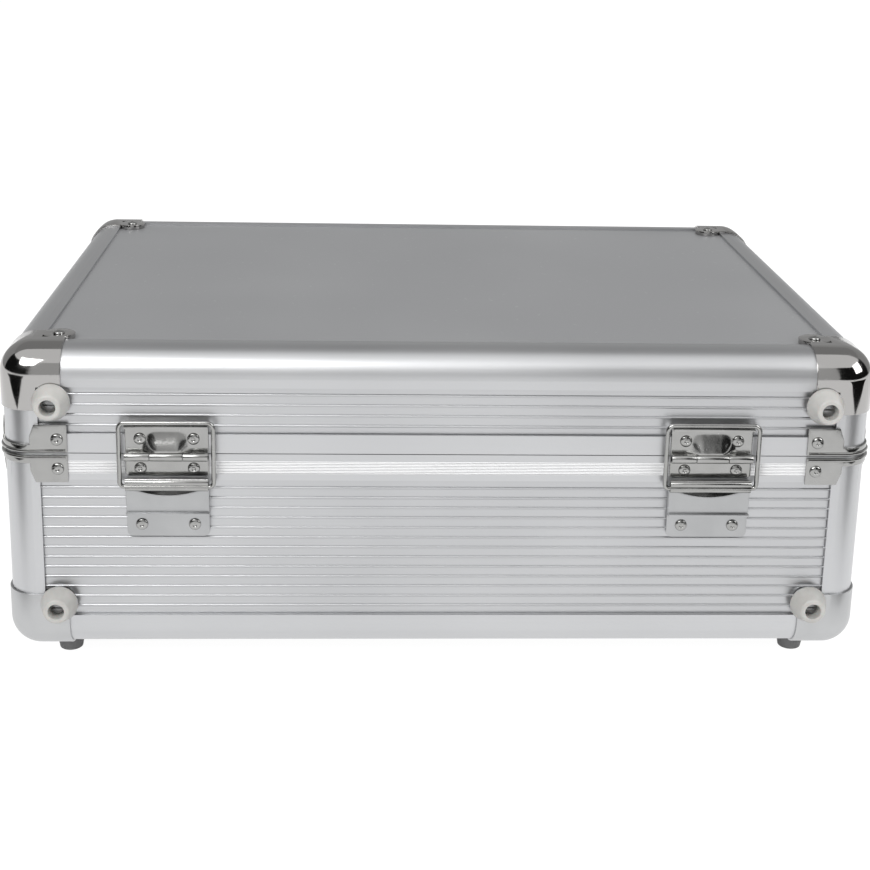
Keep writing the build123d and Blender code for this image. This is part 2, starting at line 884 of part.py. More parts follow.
save("floor_sheet", level_sheet(foot_h, 1))
save("body_edges", edge_frame(foot_h, 1, body_rim_low))
save("body_rim", body_rim())
for side in normals:
    body_sheet = wall_sheet(side, floor_slot, seam_z - rim_web, foot_h + edge_face, body_rim_low)
    save(f"body_wall_{side}", body_sheet)
    lid_sheet = wall_sheet(side, seam_z + groove_h + rim_web, roof_slot, lid_rim_high, top_z - edge_face)
    save(f"lid_wall_{side}", lid_sheet)
for key, piece in at_corners(casting, foot_h, 1, True).items():
    save(f"body_corner_{key}", piece)
for key, piece in at_corners(casting, top_z, -1, False).items():
    save(f"lid_corner_{key}", piece)
save("body_clips", group(at_corners(seam_clip(clip_body_h), seam_z, -1, True).values()))
save("lid_clips", group(at_corners(seam_clip(clip_lid_h), seam_z, 1, False).values()))
save("lid_sheet", level_sheet(top_z, -1))
save("lid_edges", edge_frame(top_z, -1, lid_rim_high))
save("lid_rim", lid_rim())

save("rubber_feet", rubber_feet())
save("body_cone_feet", cone_feet(cones_body))
save("lid_cone_feet", cone_feet(cones_lid))
save("body_screws", screws([(feet_planes, casting_t + foot_floor), (cones_body, casting_t + cone_floor)]))
save("lid_screws", screws([(cones_lid, casting_t + cone_floor)]))

body_seats = [(casting_rivets_body, casting_t), (clip_rivets_body, clip_t), (plate_rivets_body, plate_t)]
save("body_rivets", rivets(body_seats + [(bracket_rivets, bracket_t - skin)]))
lid_seats = [(casting_rivets_lid, casting_t), (clip_rivets_lid, clip_t), (plate_rivets_lid, plate_t)]
save("lid_rivets", rivets(lid_seats))

for hand, x in (("left", -clasp_x), ("right", clasp_x)):
    save(f"hinge_leaf_upper_{hand}", upper_leaf(x))
    save(f"hinge_leaf_lower_{hand}", lower_leaf(x))
    save(f"clasp_base_{hand}", clasp_base("front", x))
    save(f"clasp_lever_{hand}", clasp_lever("front", x))
    save(f"clasp_tube_{hand}", swivel_tube("front", x))
    save(f"clasp_bail_{hand}", bail("front", x))
    save(f"latch_base_{hand}", clasp_base("back", -x))
    save(f"latch_lever_{hand}", clasp_lever("back", -x))
    save(f"latch_bail_{hand}", group([bail("back", -x), swivel_tube("back", -x)]))
save("latch_keepers", group(keeper(s * clasp_x) for s in (-1, 1)))
save("hinge_pins", group(cross_pin("front", s * clasp_x, hinge_out, 0, pin_r) for s in (-1, 1)))
pivots = [(side, s * clasp_x) for side in ("front", "back") for s in (-1, 1)]
save("clasp_pins", group(cross_pin(side, x, pivot_out, -pivot_down, pivot_pin_r) for side, x in pivots))

save("handle_brackets", handle_brackets())
save("handle_pins", handle_pins())
save("handle_arms", handle_arms())
save("handle_grip", handle_grip())

save("floor_pad", level_pad(lining_in, foot_h + lining_in, foot_h + lining_in + lining_t))
save("wall_pads", wall_pads())
save("lid_pad", level_pad(pad_in, top_z - lining_in - pad_t, top_z - lining_in))
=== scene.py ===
import bmesh
import bpy
import math
from functools import partial
from mathutils import Matrix, Vector


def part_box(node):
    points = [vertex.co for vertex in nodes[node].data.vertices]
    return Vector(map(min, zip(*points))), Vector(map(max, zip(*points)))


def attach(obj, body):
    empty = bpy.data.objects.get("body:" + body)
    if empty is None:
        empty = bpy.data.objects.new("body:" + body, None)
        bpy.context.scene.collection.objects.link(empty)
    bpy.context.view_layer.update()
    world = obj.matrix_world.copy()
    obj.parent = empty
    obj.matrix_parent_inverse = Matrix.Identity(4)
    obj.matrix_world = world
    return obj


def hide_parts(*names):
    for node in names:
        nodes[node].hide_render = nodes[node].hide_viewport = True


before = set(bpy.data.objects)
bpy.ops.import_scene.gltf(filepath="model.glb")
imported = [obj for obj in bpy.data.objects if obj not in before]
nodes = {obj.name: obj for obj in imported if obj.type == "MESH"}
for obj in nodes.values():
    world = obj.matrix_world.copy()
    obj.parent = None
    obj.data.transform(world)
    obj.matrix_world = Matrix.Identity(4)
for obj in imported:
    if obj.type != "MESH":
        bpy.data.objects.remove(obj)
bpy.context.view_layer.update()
scene = bpy.context.scene
scene.view_settings.view_transform = "Standard"


# Camera: above the case and in front of its hinge wall, turned and rolled by a degree or two, with the lens
# shifted down as a view camera's. It was fitted to the feet, seams and outline of the case.
yaw = math.radians(-2.81)
tilt = math.radians(14.90)
roll = math.radians(1.23)
ahead = Vector((-math.sin(yaw), math.cos(yaw), 0))
across = Vector((math.cos(yaw), math.sin(yaw), 0))
up = Vector((0, 0, 1))
sight = math.cos(tilt) * ahead - math.sin(tilt) * up
above = math.sin(tilt) * ahead + math.cos(tilt) * up
right = math.cos(roll) * across + math.sin(roll) * above
top = -math.sin(roll) * across + math.cos(roll) * above
camera = bpy.data.objects.new("camera", bpy.data.cameras.new("camera"))
standing = Matrix.Translation((-0.0433, -0.9523, 0.413))
camera.matrix_world = standing @ Matrix((right, top, -sight)).transposed().to_4x4()
camera.data.sensor_width = 36
camera.data.lens = 65.7
camera.data.shift_y = -0.15
scene.collection.objects.link(camera)
scene.camera = camera


# Studio: a pale floor that keeps the soft shadow of the case, a white surround, four soft lamps, and cards
# that show only in reflections: dark and grey ones all round and overhead, which give chrome its shape.
def put(tree, kind, links=None, **settings):
    """A node with its settings, its inputs linked to sockets or set to values."""
    node = tree.nodes.new(kind)
    for name, value in settings.items():
        setattr(node, name, value)
    for name, value in (links or {}).items():
        if isinstance(value, bpy.types.NodeSocket):
            tree.links.new(value, node.inputs[name])
        else:
            node.inputs[name].default_value = value
    return node


def calc(tree, operation, *values):
    """The result of one Math node on sockets or numbers."""
    return put(tree, "ShaderNodeMath", dict(enumerate(values)), operation=operation).outputs[0]


def seen_share(tree):
    """1 where the camera, a mirror or glass looks, and 0 for the light that falls on the case."""
    path = put(tree, "ShaderNodeLightPath").outputs
    sharp = calc(tree, "MAXIMUM", path["Is Camera Ray"], path["Is Glossy Ray"])
    return calc(tree, "MAXIMUM", sharp, path["Is Transmission Ray"])


def meshed(name, points, faces):
    """A new piece from its points and faces."""
    piece = bpy.data.objects.new(name, bpy.data.meshes.new(name))
    piece.data.from_pydata(points, [], faces)
    return piece


def staged(name, points, faces=((0, 1, 2, 3),)):
    """A sheet of the studio, with four corners unless its faces are given."""
    sheet = meshed(name, points, faces)
    scene.collection.objects.link(sheet)
    return sheet


def ring_faces(count):
    """The faces of a band between two rings of points, one ring after the other."""
    return [[k, (k + 1) % count, (k + 1) % count + count, k + count] for k in range(count)]


def card_shade(name, level):
    """The material of a card that is as bright as its level, whatever light falls on it."""
    material = bpy.data.materials.new(name)
    material.use_nodes = True
    shader = material.node_tree.nodes["Principled BSDF"].inputs
    shader["Base Color"].default_value = (0, 0, 0, 1)
    shader["Roughness"].default_value = 1
    shader["Specular IOR Level"].default_value = 0
    shader["Emission Color"].default_value = (1, 1, 1, 1)
    shader["Emission Strength"].default_value = level
    return material


def for_reflections(card, *shades):
    """A card that shows in reflections alone, with its shades."""
    card.visible_camera = card.visible_diffuse = False
    card.visible_transmission = card.visible_shadow = False
    for shade in shades:
        card.data.materials.append(shade)


surround = bpy.data.worlds.new("white surround")
scene.world = surround
surround.use_nodes = True
tree = surround.node_tree
tree.nodes.clear()
fill = put(tree, "ShaderNodeBackground", {"Color": (0.97, 0.98, 1, 1), "Strength": 0.62})
white = put(tree, "ShaderNodeBackground", {"Color": (1, 1, 1, 1), "Strength": 1.0})
sky = put(tree, "ShaderNodeMixShader", {0: seen_share(tree), 1: fill.outputs[0], 2: white.outputs[0]})
put(tree, "ShaderNodeOutputWorld", {"Surface": sky.outputs[0]})

floor_glow, floor_seen = 1.12, 0.86
floor = staged("studio_floor", [(-15, -15, 0), (15, -15, 0), (15, 15, 0), (-15, 15, 0)])
pale = bpy.data.materials.new("pale floor")
pale.use_nodes = True
tree = pale.node_tree
tree.nodes.clear()
paper = put(tree, "ShaderNodeBsdfDiffuse", {"Color": (0.86, 0.86, 0.86, 1)})
glow = put(tree, "ShaderNodeEmission", {"Color": (1, 1, 1, 1), "Strength": floor_glow})
share = calc(tree, "MULTIPLY", seen_share(tree), floor_seen)
ground = put(tree, "ShaderNodeMixShader", {0: share, 1: paper.outputs[0], 2: glow.outputs[0]})
put(tree, "ShaderNodeOutputMaterial", {"Surface": ground.outputs[0]})
floor.data.materials.append(pale)

screen_r, screen_low, screen_high, screen_sides = 2.6, 0.12, 2.3, 48
front_span, back_from = 15, 95
angles = [2 * math.pi * k / screen_sides for k in range(screen_sides)]
ring = [(screen_r * math.cos(a), screen_r * math.sin(a)) for a in angles]
points = [(x, y, z) for z in (screen_low, screen_high) for x, y in ring]
screen = staged("dark_screen", points, ring_faces(screen_sides))
black = card_shade("dark card", 0.012)
for_reflections(screen, black, card_shade("front card", 0.60), card_shade("back card", 0.42))
for face in screen.data.polygons:
    middle = sum((screen.data.vertices[k].co for k in face.vertices), Vector()) / 4
    off_front = abs(math.degrees(math.atan2(middle.x, -middle.y)))
    face.material_index = 1 if off_front < front_span else 2 if off_front > back_from else 0

overhead = ((-3, 0.05), (3, 0.05), (3, screen_r), (-3, screen_r))
ceiling = staged("ceiling_card", [(x, y, screen_high) for x, y in overhead])
for_reflections(ceiling, card_shade("ceiling card", 0.34))
beside, card_z = ((0.38, -0.28), (1.6, -0.28), (1.6, -1.4), (0.66, -1.4)), 0.004
for name, s in (("left card", -1), ("right card", 1)):
    for_reflections(staged(name, [(s * x, y, card_z) for x, y in beside]), black)

lamps = [
    ("key lamp", (-1.1, -2.0, 1.9), 1.5, 46),
    ("side lamp", (1.9, -1.2, 1.4), 1.2, 20),
    ("top lamp", (0.2, 0.6, 2.6), 1.8, 26),
    ("back lamp", (0.6, 2.2, 1.6), 1.2, 18),
]
aim = Vector((0, 0, 0.1))
for name, place, size, power in lamps:
    lamp = bpy.data.objects.new(name, bpy.data.lights.new(name, "AREA"))
    lamp.data.size = size
    lamp.data.energy = power
    lamp.visible_glossy = name in ("key lamp", "side lamp")
    turned = (Vector(place) - aim).to_track_quat("Z", "Y").to_matrix().to_4x4()
    lamp.matrix_world = Matrix.Translation(place) @ turned
    scene.collection.objects.link(lamp)


# Lid top and floor: plain aluminium sheets with a dull grey lacquer, slid into the slots of the edge
# sections. The lacquer has a fine orange-peel skin, faint clouding and a few hairline scratches.
def effect(name, inputs, outputs):
    """An empty shader group with named inputs, given with their first values, and named outputs."""
    tree = bpy.data.node_groups.new(name, "ShaderNodeTree")
    for label, value in inputs.items():
        kind = "NodeSocketFloat" if isinstance(value, (int, float)) else "NodeSocketVector"
        tree.interface.new_socket(label, in_out="INPUT", socket_type=kind).default_value = value
    for label in outputs:
        tree.interface.new_socket(label, in_out="OUTPUT", socket_type="NodeSocketFloat")
    return tree, put(tree, "NodeGroupInput").outputs, put(tree, "NodeGroupOutput").inputs


def blurred(tree, place, scale, detail=2.0):
    """Soft noise from 0 to 1 at a place, with so many patches to the metre."""
    return put(tree, "ShaderNodeTexNoise", {"Vector": place, "Scale": scale, "Detail": detail}).outputs[0]


def spread(tree, value, low, high, to_low, to_high):
    """A value's range stretched to another, and held inside it."""
    links = {"Value": value, "From Min": low, "From Max": high, "To Min": to_low, "To Max": to_high}
    return put(tree, "ShaderNodeMapRange", links).outputs[0]


patches = {"Place": (0, 0, 0), "Patches per Metre": 20, "From": 0, "To": 1}
clouding, given, made = effect("clouding", patches, ["Value"])
wide = blurred(clouding, given["Place"], given["Patches per Metre"])
clouding.links.new(spread(clouding, wide, 0.32, 0.68, given["From"], given["To"]), made["Value"])

scratches = {"Place": (0, 0, 0), "Lines per Metre": 700, "Share": 0.2}
hairlines, given, made = effect("hairlines", scratches, ["Mask"])
marks = []
for turn, sway in ((0.4, 0.2), (2.1, -0.3), (1.2, 0.9)):
    way = {"Vector": given["Place"], "Rotation": (sway, turn, turn + sway)}
    turned = put(hairlines, "ShaderNodeVectorRotate", way, rotation_type="EULER_XYZ").outputs[0]
    stretch = {0: turned, 1: (0.03, 1, 1)}
    stretched = put(hairlines, "ShaderNodeVectorMath", stretch, operation="MULTIPLY").outputs[0]
    marks.append(blurred(hairlines, stretched, given["Lines per Metre"], 0.0))
most = calc(hairlines, "MAXIMUM", calc(hairlines, "MAXIMUM", marks[0], marks[1]), marks[2])
edge = calc(hairlines, "SUBTRACT", 0.86, calc(hairlines, "MULTIPLY", given["Share"], 0.3))
over = calc(hairlines, "ADD", edge, 0.04)
hairlines.links.new(spread(hairlines, most, edge, over, 0.0, 1.0), made["Mask"])

pebbling, given, made = effect("pebbling", {"Place": (0, 0, 0), "Grains per Metre": 900}, ["Height"])
grains = {"Vector": given["Place"], "Scale": given["Grains per Metre"]}
cells = put(pebbling, "ShaderNodeTexVoronoi", grains, feature="SMOOTH_F1").outputs["Distance"]
grain = calc(pebbling, "ADD", cells, blurred(pebbling, given["Place"], given["Grains per Metre"]))
pebbling.links.new(calc(pebbling, "MULTIPLY", grain, 0.5), made["Height"])


def placed_effect(tree, group, links):
    """A shared effect in a material, with this material's values."""
    return put(tree, "ShaderNodeGroup", links, node_tree=group).outputs[0]


def clouded(tree, place, patches):
    """Faint patches from 0 to 1, so many to the metre."""
    return placed_effect(tree, clouding, {"Place": place, "Patches per Metre": patches})


def scratched(tree, place, lines, share):
    """1 on hairline scratches: how fine they are, and how much of the surface has them."""
    return placed_effect(tree, hairlines, {"Place": place, "Lines per Metre": lines, "Share": share})


def pebbled(tree, place, grains):
    """The height of a fine grain, so many to the metre."""
    return placed_effect(tree, pebbling, {"Place": place, "Grains per Metre": grains})


def paint(name, color, metallic, roughness, **more):
    """A new material: its tree, its shader and the piece's own coordinates in metres."""
    material = bpy.data.materials.new(name)
    material.use_nodes = True
    tree = material.node_tree
    tree.nodes.clear()
    settings = {"Base Color": (*color, 1), "Metallic": metallic, "Roughness": roughness}
    settings.update({label.replace("_", " "): value for label, value in more.items()})
    shader = put(tree, "ShaderNodeBsdfPrincipled", settings)
    put(tree, "ShaderNodeOutputMaterial", {"Surface": shader.outputs[0]})
    return material, tree, shader.inputs, put(tree, "ShaderNodeTexCoord").outputs["Object"]


def tinted(tree, share, dark, light):
    """A colour between two, by a share."""
    return put(tree, "ShaderNodeMix", {0: share, 6: (*dark, 1), 7: (*light, 1)}, data_type="RGBA").outputs[2]


def raised(tree, height, depth):
    """A normal that tilts as if the surface rose by so many metres where the height is 1."""
    return put(tree, "ShaderNodeBump", {"Height": height, "Distance": depth, "Strength": 1.0}).outputs[0]


def dress(tree, shader, color, roughness, normal):
    """What changes over the surface, linked to the shader; a colour of None stays as it is."""
    for label, socket in (("Base Color", color), ("Roughness", roughness), ("Normal", normal)):
        if socket is not None:
            tree.links.new(socket, shader[label])


def coat_node(node, material):
    """A CAD node keeps its shape and gets its finish."""
    nodes[node].material_slots[0].material = material


sheet_grey, tree, shader, place = paint("grey lacquered sheet", (0.25, 0.252, 0.257), 0.35, 0.45)
cloud = clouded(tree, place, 9.0)
worn = scratched(tree, place, 420.0, 0.12)
dress(
    tree,
    shader,
    tinted(tree, cloud, (0.24, 0.242, 0.247), (0.262, 0.264, 0.268)),
    spread(tree, calc(tree, "SUBTRACT", cloud, worn), -0.5, 1.0, 0.36, 0.48),
    raised(tree, pebbled(tree, place, 700.0), 0.00002),
)
coat_node("floor_sheet", sheet_grey)
coat_node("lid_sheet", sheet_grey)


# Walls: thin aluminium sheet with rolled ribs, each with a lower rib halfway to the next and a shallow
# hollow between them. The sheet's edges stand in the slots of the edge sections.
def shape_tree(name, sizes):
    """An empty Geometry Nodes tree with named sizes; its inputs and outputs."""
    tree = bpy.data.node_groups.new(name, "GeometryNodeTree")
    tree.interface.new_socket("Geometry", in_out="INPUT", socket_type="NodeSocketGeometry")
    kinds = {int: "NodeSocketInt", float: "NodeSocketFloat"}
    for label, value in sizes.items():
        kind = kinds.get(type(value), "NodeSocketVector")
        tree.interface.new_socket(label, in_out="INPUT", socket_type=kind).default_value = value
    tree.interface.new_socket("Finish", in_out="INPUT", socket_type="NodeSocketMaterial")
    tree.interface.new_socket("Geometry", in_out="OUTPUT", socket_type="NodeSocketGeometry")
    return tree, put(tree, "NodeGroupInput").outputs, put(tree, "NodeGroupOutput").inputs


def close_tree(tree, shape, given, made):
    """Ends a tree: its instances made real, with the finish that is given."""
    real = put(tree, "GeometryNodeRealizeInstances", {0: shape}).outputs[0]
    done = put(tree, "GeometryNodeSetMaterial", {"Geometry": real, "Material": given["Finish"]})
    tree.links.new(done.outputs[0], made[0])


def settle(piece, crease=32):
    """Doubles merged, faces turned outwards, and smooth shading up to a crease angle."""
    work = bmesh.new()
    work.from_mesh(piece.data)
    bmesh.ops.remove_doubles(work, verts=work.verts, dist=1e-6)
    bmesh.ops.recalc_face_normals(work, faces=work.faces)
    for face in work.faces:
        face.smooth = True
    work.to_mesh(piece.data)
    work.free()
    piece.data.set_sharp_from_angle(angle=math.radians(crease))


def plain(piece):
    """A piece with its modifiers worked into its mesh."""
    depsgraph = bpy.context.evaluated_depsgraph_get()
    seen = piece.evaluated_get(depsgraph)
    mesh = bpy.data.meshes.new_from_object(seen, preserve_all_data_layers=True, depsgraph=depsgraph)
    piece.modifiers.clear()
    old, piece.data = piece.data, mesh
    bpy.data.meshes.remove(old)
    mesh.name = piece.name
    return piece


def grown(name, tree, sizes, finish, start=None):
    """The plain mesh that a tree makes from its sizes."""
    piece = bpy.data.objects.new(name, start or bpy.data.meshes.new(name))
    scene.collection.objects.link(piece)
    growth = piece.modifiers.new(name, "NODES")
    growth.node_group = tree
    for item in tree.interface.items_tree:
        if item.in_out == "INPUT" and item.name in sizes:
            growth[item.identifier] = sizes[item.name]
        elif item.in_out == "INPUT" and item.name == "Finish":
            growth[item.identifier] = finish
    plain(piece)
    settle(piece)
    return piece


def belongs(piece, body, slot, *replaced):
    """The piece rides on its body and stands for its nodes, which it hides; the slot is not used."""
    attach(piece, body)
    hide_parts(*replaced)
    return piece


sheet_sizes = {
    "Length": 0.4,
    "Low": 0.0,
    "High": 0.1,
    "Back": 0.0023,
    "First Rib": 0.0,
    "Pitch": 0.0056,
    "Rib Radius": 0.0007,
    "Low Rib Radius": 0.0006,
    "Low Rib Rise": 0.00022,
    "Hollow": 0.00022,
    "Steps per Pitch": 48,
}
rolled, given, made = shape_tree("rolled sheet", sheet_sizes)
roll = partial(calc, rolled)
tall = roll("SUBTRACT", given["High"], given["Low"])
steps = roll("MULTIPLY", roll("DIVIDE", tall, given["Pitch"]), given["Steps per Pitch"])
grid = {"Size X": 1.0, "Size Y": tall, "Vertices X": 2, "Vertices Y": roll("CEIL", steps)}
flat = put(rolled, "GeometryNodeMeshGrid", grid).outputs[0]
point = put(rolled, "GeometryNodeInputPosition").outputs[0]
spot = put(rolled, "ShaderNodeSeparateXYZ", {0: point}).outputs
height = roll("ADD", roll("ADD", spot[1], roll("MULTIPLY", tall, 0.5)), given["Low"])
pitches = roll("DIVIDE", roll("SUBTRACT", height, given["First Rib"]), given["Pitch"])
phase = roll("FRACT", pitches)
to_rib = roll("MULTIPLY", roll("MINIMUM", phase, roll("SUBTRACT", 1.0, phase)), given["Pitch"])
to_low = roll("MULTIPLY", roll("ABSOLUTE", roll("SUBTRACT", phase, 0.5)), given["Pitch"])


def round_rib(radius, distance):
    """Height of a round rib at a distance from its middle line."""
    squares = [roll("MULTIPLY", length, length) for length in (radius, distance)]
    return roll("SQRT", roll("MAXIMUM", roll("SUBTRACT", *squares), 0.0))


sunk = roll("SUBTRACT", given["Low Rib Radius"], given["Low Rib Rise"])
low_rib = roll("MAXIMUM", roll("SUBTRACT", round_rib(given["Low Rib Radius"], to_low), sunk), 0.0)
cove = roll("MULTIPLY", roll("SINE", roll("MULTIPLY", phase, math.pi)), given["Hollow"])
ribbed = roll("MAXIMUM", round_rib(given["Rib Radius"], to_rib), roll("SUBTRACT", low_rib, cove))
in_front = roll("LESS_THAN", spot[0], 0.0)
out = roll("SUBTRACT", given["Back"], roll("MULTIPLY", in_front, roll("ADD", ribbed, given["Back"])))
start_x = roll("MULTIPLY", given["Length"], -0.5)
there = put(rolled, "ShaderNodeCombineXYZ", {0: start_x, 1: out, 2: height}).outputs[0]
section = put(rolled, "GeometryNodeSetPosition", {"Geometry": flat, "Position": there}).outputs[0]
run = put(rolled, "ShaderNodeCombineXYZ", {0: given["Length"]}).outputs[0]
pull = {"Mesh": section, "Offset": run, "Offset Scale": 1.0, "Individual": False}
pulled = put(rolled, "GeometryNodeExtrudeMesh", pull, mode="FACES").outputs[0]
both = put(rolled, "GeometryNodeJoinGeometry")
rolled.links.new(pulled, both.inputs[0])
rolled.links.new(put(rolled, "GeometryNodeFlipFaces", {0: section}).outputs[0], both.inputs[0])
close_tree(rolled, both.outputs[0], given, made)

drawing = {"Half Width": 0.2285, "Half Depth": 0.165, "Corner": 0.02, "Lines per Metre": 2500, "Draw": 60}
drawn_lines, given, made = effect("drawn lines", {"Place": (0, 0, 0), **drawing}, ["Height"])
draw = partial(calc, drawn_lines)
centring = {0: given["Place"], 1: (0, 0.0049, 0)}
centred = put(drawn_lines, "ShaderNodeVectorMath", centring, operation="ADD").outputs[0]
apart = put(drawn_lines, "ShaderNodeSeparateXYZ", {0: centred}).outputs
near = []
for k, reach in enumerate(("Half Width", "Half Depth")):
    flat_end = draw("SUBTRACT", given[reach], given["Corner"])
    near.append(draw("GREATER_THAN", draw("ABSOLUTE", apart[k]), flat_end))
post = draw("MULTIPLY", near[0], near[1])
runs = [draw("SUBTRACT", 1.0, near[0]), draw("SUBTRACT", near[0], post), post]
slow = draw("SUBTRACT", 1.0, draw("DIVIDE", 1.0, given["Draw"]))
slowed = []
for k in range(3):
    pace = draw("SUBTRACT", 1.0, draw("MULTIPLY", runs[k], slow))
    slowed.append(draw("MULTIPLY", apart[k], pace))
along = put(drawn_lines, "ShaderNodeCombineXYZ", dict(enumerate(slowed))).outputs[0]
drawn_lines.links.new(blurred(drawn_lines, along, given["Lines per Metre"], 3.0), made["Height"])

cloud_part, scratch_part = 0.4, 0.5


def drawn_metal(name, color, roughness, lines, stretch, patches, scratches, dark, light, rough, depth):
    """Aluminium with the lines of its drawing along each length, faint clouding and scratches."""
    material, tree, shader, place = paint(name, color, 1.0, roughness)
    drawn = placed_effect(tree, drawn_lines, {"Place": place, "Lines per Metre": lines, "Draw": stretch})
    cloud = clouded(tree, place, patches)
    worn = scratched(tree, place, *scratches)
    dull = calc(tree, "ADD", drawn, calc(tree, "MULTIPLY", cloud, cloud_part))
    cut = calc(tree, "ADD", drawn, calc(tree, "MULTIPLY", worn, scratch_part))
    dress(
        tree,
        shader,
        tinted(tree, cloud, dark, light),
        spread(tree, dull, 0.3, 1.1, *rough),
        raised(tree, cut, depth),
    )
    return material


rolled_sheet = drawn_metal(
    "rolled aluminium",
    (0.53, 0.535, 0.545),
    0.32,
    lines=1800.0,
    stretch=90.0,
    patches=11.0,
    scratches=(600.0, 0.15),
    dark=(0.505, 0.51, 0.52),
    light=(0.555, 0.56, 0.57),
    rough=(0.29, 0.39),
    depth=0.000004,
)

shell_low, shell_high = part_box("body_edges")
middle_y = (shell_low.y + shell_high.y) / 2
half_w, half_d = shell_high.x, shell_high.y - middle_y
skin, edge_face = 0.0016, 0.020
seam = sum(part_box("hinge_pins")[k].z for k in (0, 1)) / 2
case_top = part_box("lid_edges")[1].z
bare = {
    "body": (shell_low.z + edge_face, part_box("body_rim")[0].z),
    "lid": (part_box("lid_rim")[1].z, case_top - edge_face),
}
sides = {"front": 0, "right": 90, "back": 180, "left": 270}


def wall_turn(side, out=0.0):
    """Where a piece made facing -Y, its outer plane at y = 0, stands on a wall."""
    reach = (half_d if side in ("front", "back") else half_w) + out
    turned = Matrix.Rotation(math.radians(sides[side]), 4, "Z")
    return Matrix.Translation((0, middle_y, 0)) @ turned @ Matrix.Translation((0, -reach, 0))


for half, (low, high) in bare.items():
    ribs = int((high - low) / sheet_sizes["Pitch"])
    first_rib = (low + high - (ribs - 1) * sheet_sizes["Pitch"]) / 2
    for side in sides:
        node = f"{half}_wall_{side}"
        node_low, node_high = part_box(node)
        long = (node_high.x - node_low.x) if side in ("front", "back") else (node_high.y - node_low.y)
        ends = {"Low": node_low.z, "High": node_high.z}
        sizes = {**sheet_sizes, **ends, "Length": long, "First Rib": first_rib}
        wall = grown(f"{node}_ribbed", rolled, sizes, rolled_sheet)
        wall.data.transform(wall_turn(side, -skin - sheet_sizes["Rib Radius"]))
        belongs(wall, "case_body" if half == "body" else "lid", "ribbed_sheet", node)


# Edge sections: extruded aluminium with a quarter-round face, clear anodised to a silk finish. The fine
# lines of the drawing run along each length, and wear shows as faint hairlines.
section_finish = drawn_metal(
    "anodised section",
    (0.57, 0.575, 0.585),
    0.38,
    lines=1300.0,
    stretch=120.0,
    patches=8.0,
    scratches=(500.0, 0.12),
    dark=(0.55, 0.555, 0.565),
    light=(0.59, 0.595, 0.605),
    rough=(0.34, 0.42),
    depth=0.000003,
)
coat_node("body_edges", section_finish)
coat_node("lid_edges", section_finish)


# Rim sections: the body's carries a tongue and the lid's a groove, so the two close on each other. The
# body's has a band of fine flutes below the seam, between the corner clips.
coat_node("body_rim", section_finish)
coat_node("lid_rim", section_finish)
clip_reach, flute_low, flute_high, first_flute = 0.0348, 0.0108, 0.0040, 0.0042
flute_sizes = {
    "Low": seam - flute_low,
    "High": seam - flute_high,
    "Back": 0.0006,
    "First Rib": seam - first_flute,
    "Pitch": 0.00085,
    "Rib Radius": 0.0003,
    "Low Rib Radius": 0.0,
    "Low Rib Rise": 0.0,
    "Hollow": 0.0,
    "Steps per Pitch": 14,
}
bands = []
for side in sides:
    long = 2 * ((half_w if side in ("front", "back") else half_d) - clip_reach)
    band = grown(f"flutes_{side}", rolled, {**flute_sizes, "Length": long}, section_finish)
    band.data.transform(wall_turn(side))
    bands.append(band)


def joined(name, pieces):
    """One piece from several meshes."""
    work = bmesh.new()
    for piece in pieces:
        work.from_mesh(piece.data)
    whole = bpy.data.objects.new(name, bpy.data.meshes.new(name))
    work.to_mesh(whole.data)
    work.free()
    whole.data.materials.append(pieces[0].data.materials[0])
    scene.collection.objects.link(whole)
    for piece in pieces:
        bpy.data.objects.remove(piece)
    return whole


belongs(joined("body_rim_flutes", bands), "case_body", "edge_section")


# Corners: die-cast zinc balls with three arms and three round lugs, a skin over the ends of the sections.
# Those of the lid are polished and chromed, those of the body are plated satin.
casting_crease = math.radians(28)


def worked(node, body, finish, slot, rounding, steps=2, name=None):
    """A copy of a CAD piece with its doubles merged and its cut edges broken, in place of the node."""
    work = bmesh.new()
    work.from_mesh(nodes[node].data)
    bmesh.ops.remove_doubles(work, verts=work.verts, dist=1e-6)
    for face in work.faces:
        face.smooth = True
    mesh = bpy.data.meshes.new(name or f"{node}_finished")
    work.to_mesh(mesh)
    work.free()
    mesh.materials.clear()
    mesh.materials.append(finish)
    piece = bpy.data.objects.new(mesh.name, mesh)
    scene.collection.objects.link(piece)
    if rounding:
        broken = piece.modifiers.new("broken edges", "BEVEL")
        broken.width = rounding
        broken.segments = steps
        broken.limit_method = "ANGLE"
        broken.angle_limit = casting_crease
        broken.use_clamp_overlap = False
        plain(piece)
    piece.data.set_sharp_from_angle(angle=casting_crease)
    return belongs(piece, body, slot, node)


chrome, tree, shader, place = paint("chromed casting", (0.42, 0.413, 0.405), 1.0, 0.08)
smear = clouded(tree, place, 90.0)
worn = scratched(tree, place, 900.0, 0.2)
waves = calc(tree, "ADD", blurred(tree, place, 55.0), calc(tree, "MULTIPLY", worn, 0.01))
dull = spread(tree, calc(tree, "ADD", smear, worn), 0.0, 2.0, 0.06, 0.2)
dress(tree, shader, None, dull, raised(tree, waves, 0.00014))

satin_zinc, tree, shader, place = paint("satin casting", (0.51, 0.515, 0.52), 1.0, 0.36)
smear = clouded(tree, place, 45.0)
dress(
    tree,
    shader,
    tinted(tree, smear, (0.48, 0.485, 0.49), (0.54, 0.545, 0.55)),
    spread(tree, smear, 0.0, 1.0, 0.33, 0.43),
    raised(tree, pebbled(tree, place, 1600.0), 0.000012),
)

for key in ("fl", "fr", "bl", "br"):
    worked(f"body_corner_{key}", "case_body", satin_zinc, "satin_casting", 0.0002)
    worked(f"lid_corner_{key}", "lid", chrome, "polished_casting", 0.0002)


